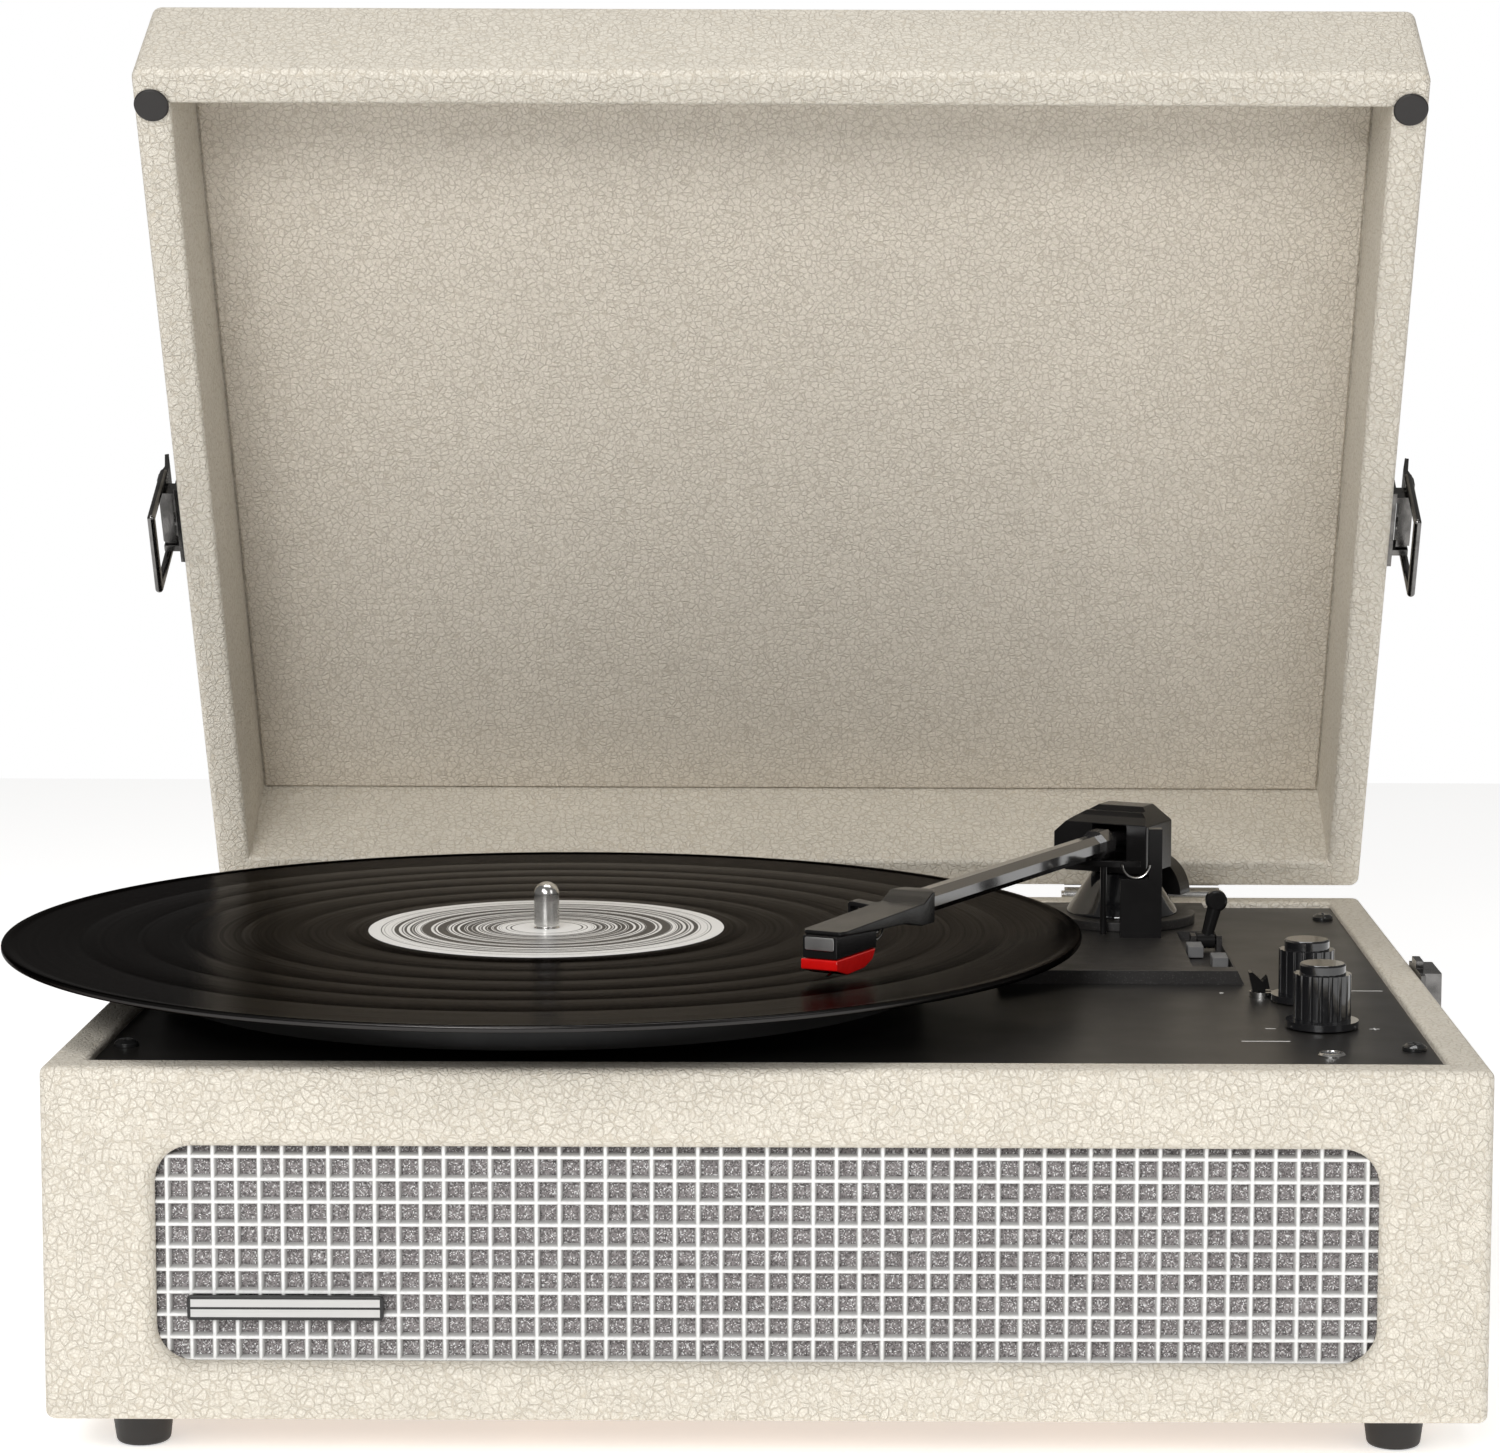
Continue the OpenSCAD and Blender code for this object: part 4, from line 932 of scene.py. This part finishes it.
def make_screws():
    """Heads in the screw holes of the hinges, catches, latch plates and jack panel."""
    leaf_thick, leaf_half, leaf_hole, leaf_row = 1.2 * MM, 25 * MM, 16 * MM, 12 * MM
    plate_thick, plate_along = 1.4 * MM, 153.5 * MM
    catch_hole, catch_drop = 7 * MM, 20 * MM
    latch_hole, latch_rise = 6 * MM, 18 * MM
    panel_edge, panel_rise = 6 * MM, 11 * MM
    small = (2.6 * MM, 1.2 * MM)
    base, lid = bmesh.new(), bmesh.new()
    leaf_low, leaf_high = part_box("base_hinge_leaves")
    middle = (leaf_low.x + leaf_high.x) / 2
    leaf_dx = (leaf_high.x - leaf_low.x) / 2 - leaf_half
    for side in (-1, 1):
        for x in (-leaf_hole, leaf_hole):
            at = Vector((middle + side * leaf_dx + x, case_high.y + leaf_thick, RIM))
            row = Vector((0, 0, leaf_row))
            add_screw(base, at - row, (0, 1, 0))
            add_screw(lid, on_lid @ (at + row), on_lid.to_3x3() @ Vector((0, 1, 0)))
    panel_low, panel_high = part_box("jack_panel")
    for x in (panel_low.x + panel_edge, panel_high.x - panel_edge):
        at = Vector((x, panel_high.y, (panel_low.z + panel_high.z) / 2 + panel_rise))
        add_screw(base, at, (0, 1, 0), 2.6 * MM, 1.3 * MM)
    for face_x, out in ((case_high.x, 1), (case_low.x, -1)):
        plate = Vector((face_x + out * plate_thick, case_low.y + plate_along, RIM))
        for way in (-1, 1):
            add_screw(base, plate + Vector((0, way * catch_hole, -catch_drop)), (out, 0, 0), *small)
            add_screw(lid, on_lid @ (plate + Vector((0, way * latch_hole, latch_rise))), (out, 0, 0), *small)
    finish_mesh("base_screw_heads", base, "base", "steel")
    finish_mesh("lid_screw_heads", lid, "lid", "steel")


# ---------- tonearm and control details ----------

pivot = Vector(joints["arm_swing"]["pos_m"])
ARM_TURN = math.radians(-26)
on_arm = Matrix.Translation(pivot) @ Matrix.Rotation(ARM_TURN, 4, "Z")
WIRE = 0.3 * MM


def sweep(mesh, points, radius, sides=10):
    """A round wire through points."""
    points = [Vector(p) for p in points]
    rings = []
    side = None
    for i, at in enumerate(points):
        ahead = (points[min(i + 1, len(points) - 1)] - points[max(i - 1, 0)]).normalized()
        if side is None:
            side = ahead.orthogonal().normalized()
        side = (side - ahead * side.dot(ahead)).normalized()
        up = ahead.cross(side)
        rings.append([at + radius * (math.cos(a) * side + math.sin(a) * up)
                      for a in (2 * math.pi * k / sides for k in range(sides))])
    add_loft(mesh, rings)


def add_plate(mesh, low, high, radius, edge):
    """An upright plate with rounded corners and softened edges, its broad faces towards -Y and +Y."""
    width, tall, thick = high[0] - low[0], high[2] - low[2], high[1] - low[1]
    middle = Vector(((low[0] + high[0]) / 2, low[1], (low[2] + high[2]) / 2))
    rings = []
    for inward, back in ((edge, 0), (0, edge), (0, thick - edge), (edge, thick)):
        outline = rounded_outline(width - 2 * inward, tall - 2 * inward, max(radius - inward, 0.05 * MM))
        rings.append([middle + Vector((x, back, z)) for x, z in outline])
    add_loft(mesh, rings)


def make_arm_details():
    """Front plate, contact pins with their wires, the stylus's thin rod, and the spring clip on the rest.

    All but the clip are placed in the arm's own frame: the pivot is its origin and -Y points along the tube.
    """
    front = bmesh.new()
    plate_low, plate_high = Vector((-4.2, -207.35, -4.3)) * MM, Vector((4.2, -206.95, -0.9)) * MM
    add_plate(front, plate_low, plate_high, 0.5 * MM, 0.1 * MM)
    transform(front, on_arm)
    finish_mesh("cartridge_plate", front, "arm", "badge", arm_plate)
    pins, wires = bmesh.new(), bmesh.new()
    for x, z in ((-2.4, -3.4), (2.4, -3.4), (-2.4, -5.4), (2.4, -5.4)):
        sweep(pins, [Vector((x, y, z)) * MM for y in (-183.2, -181, -179.6)], 0.42 * MM, 12)
        bend = [(x, -180.6, z), (x, -177.5, z - 0.1), (x * 0.96, -175.2, z + 0.5),
                (x * 0.86, -173.8, z + 1.3), (x * 0.7, -172.2, -2.1 + 0.1 * z), (x * 0.55, -169.0, -2.0)]
        sweep(wires, [Vector(p) * MM for p in bend], WIRE)
        sweep(pins, [Vector((x, y, z)) * MM for y in (-180.9, -179, -177.9)], 0.62 * MM, 12)
    transform(pins, on_arm)
    transform(wires, on_arm)
    finish_mesh("cartridge_pins", pins, "arm", "steel")
    finish_mesh("cartridge_wires", wires, "arm", "steel")
    tip = bmesh.new()
    sweep(tip, [Vector(p) * MM for p in ((0, -194, -9.6), (0, -198.6, -11.3), (0, -202.5, -11.75))], WIRE)
    transform(tip, on_arm)
    finish_mesh("stylus_rod", tip, "arm", "steel")
    rest_low, rest_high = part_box("arm_rest")
    clip_radius, clip_wire = 4.1 * MM, 0.32 * MM
    middle = Vector((pivot.x + 2.1 * MM, rest_low.y - 0.25 * MM, pivot.z - 3.8 * MM))
    clip = bmesh.new()
    sweep(clip, [middle + Vector((x, 0, z)) for x, z in arc((0, 0), clip_radius, 182, 358, 16)], clip_wire)
    finish_mesh("rest_clip", clip, "base", "steel")


def make_marks():
    """Screen printed marks without letters: a minus, a plus, a dot and two dashes beside the controls."""
    knob_low, knob_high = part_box("volume_knob")
    toggle_low, toggle_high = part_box("mode_toggle")
    x = (knob_low.x + knob_high.x) / 2
    y = (knob_low.y + knob_high.y) / 2
    beside, in_front = 14 * MM, y - 2 * MM
    bars = [
        (x - beside, in_front, 2.8, 0.5),
        (x + beside, in_front, 2.8, 0.5),
        (x + beside, in_front, 0.5, 2.8),
        (toggle_low.x - 7 * MM, toggle_high.y + 3 * MM, 1.2, 1.2),
        (x - 17 * MM, y - 20 * MM, 13, 0.7),
        (x + 19 * MM, toggle_high.y + 7 * MM, 9, 0.7),
    ]
    marks = bmesh.new()
    for at_x, at_y, width, depth in bars:
        outline = rounded_outline(width * MM, depth * MM, min(width, depth) * 0.4 * MM)
        rings = [[Vector((at_x + px, at_y + py, deck_high.z + lift * MM)) for px, py in outline]
                 for lift in (0.005, 0.03)]
        add_loft(marks, rings)
    finish_mesh("deck_marks", marks, "base", "paper_label", print_white)


def make_led_ring():
    """The bright ring that holds the power light's lens. Its profile is in millimetres above the deck."""
    low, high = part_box("power_led")
    centre = (low + high) / 2
    profile = [(2.2, 0.72), (2.9, 0.3), (2.95, 0.0), (3.6, 0.0),
               (3.6, 0.35), (3.2, 0.85), (2.6, 1.0), (2.25, 0.9)]
    ring = bmesh.new()
    lathe(ring, centre, [(r * MM, deck_high.z + z * MM) for r, z in profile], 48)
    finish_mesh("led_ring", ring, "base", "steel")


# ---------- the whole ----------

make_camera()
make_studio()
make_case()
make_grille()
make_cloth()
make_lid()
make_lining()
make_record()
make_mat()
make_screws()
make_arm_details()
make_marks()
make_led_ring()

record_nodes = {row["node"]: row["material_slot"] for row in frame["record"]["subparts"]}
for name, slot in record_nodes.items():
    if not nodes[name].hide_render:
        paint(nodes[name], looks[slot])
for name in ("tonearm_plinth", "pivot_disc"):
    paint(nodes[name], arm_base_black)

# edge width in millimetres: the CAD nodes whose edges it softens
EDGES = {
    0.8: ("feet",),
    0.6: ("bottom_panel", "lid_bumpers"),
    0.45: ("tonearm_plinth", "pivot_block", "rear_weight", "headshell", "jack_panel"),
    0.35: ("deck_plate", "pivot_disc", "arm_rest", "cue_lever", "mode_toggle", "side_catches", "latch_plates",
           "left_latch_lever", "right_latch_lever", "stylus", "cartridge", "front_badge"),
    0.25: ("pivot_turret", "arm_tube", "cue_lift_bar", "volume_knob", "tone_knob", "speed_slider",
           "stop_slider", "base_hinge_leaves", "lid_hinge_leaves", "hinge_pins", "left_latch_loop",
           "right_latch_loop"),
    0.18: ("deck_screws", "bottom_screws", "phono_sockets", "small_jacks", "spindle", "power_led"),
}
for width, group in EDGES.items():
    for name in group:
        soften(name, width * MM)

FLOOR_SIZE = 2.5
FLOOR_GAP = 0.2 * MM
bpy.ops.mesh.primitive_plane_add(size=FLOOR_SIZE, location=(0, 0, -FLOOR_GAP))
floor = bpy.context.object
floor.name = "floor"
floor_look = Shader("floor")
floor_look.feed(Base_Color=floor_look.blend(floor_look.noise(3, 2), (0.93, 0.93, 0.93), (0.97, 0.97, 0.97)))
floor_look.feed(Roughness=0.9, Specular_IOR_Level=0.1, Emission_Color=(1, 1, 1), Emission_Strength=0.5)
paint(floor, floor_look.material)
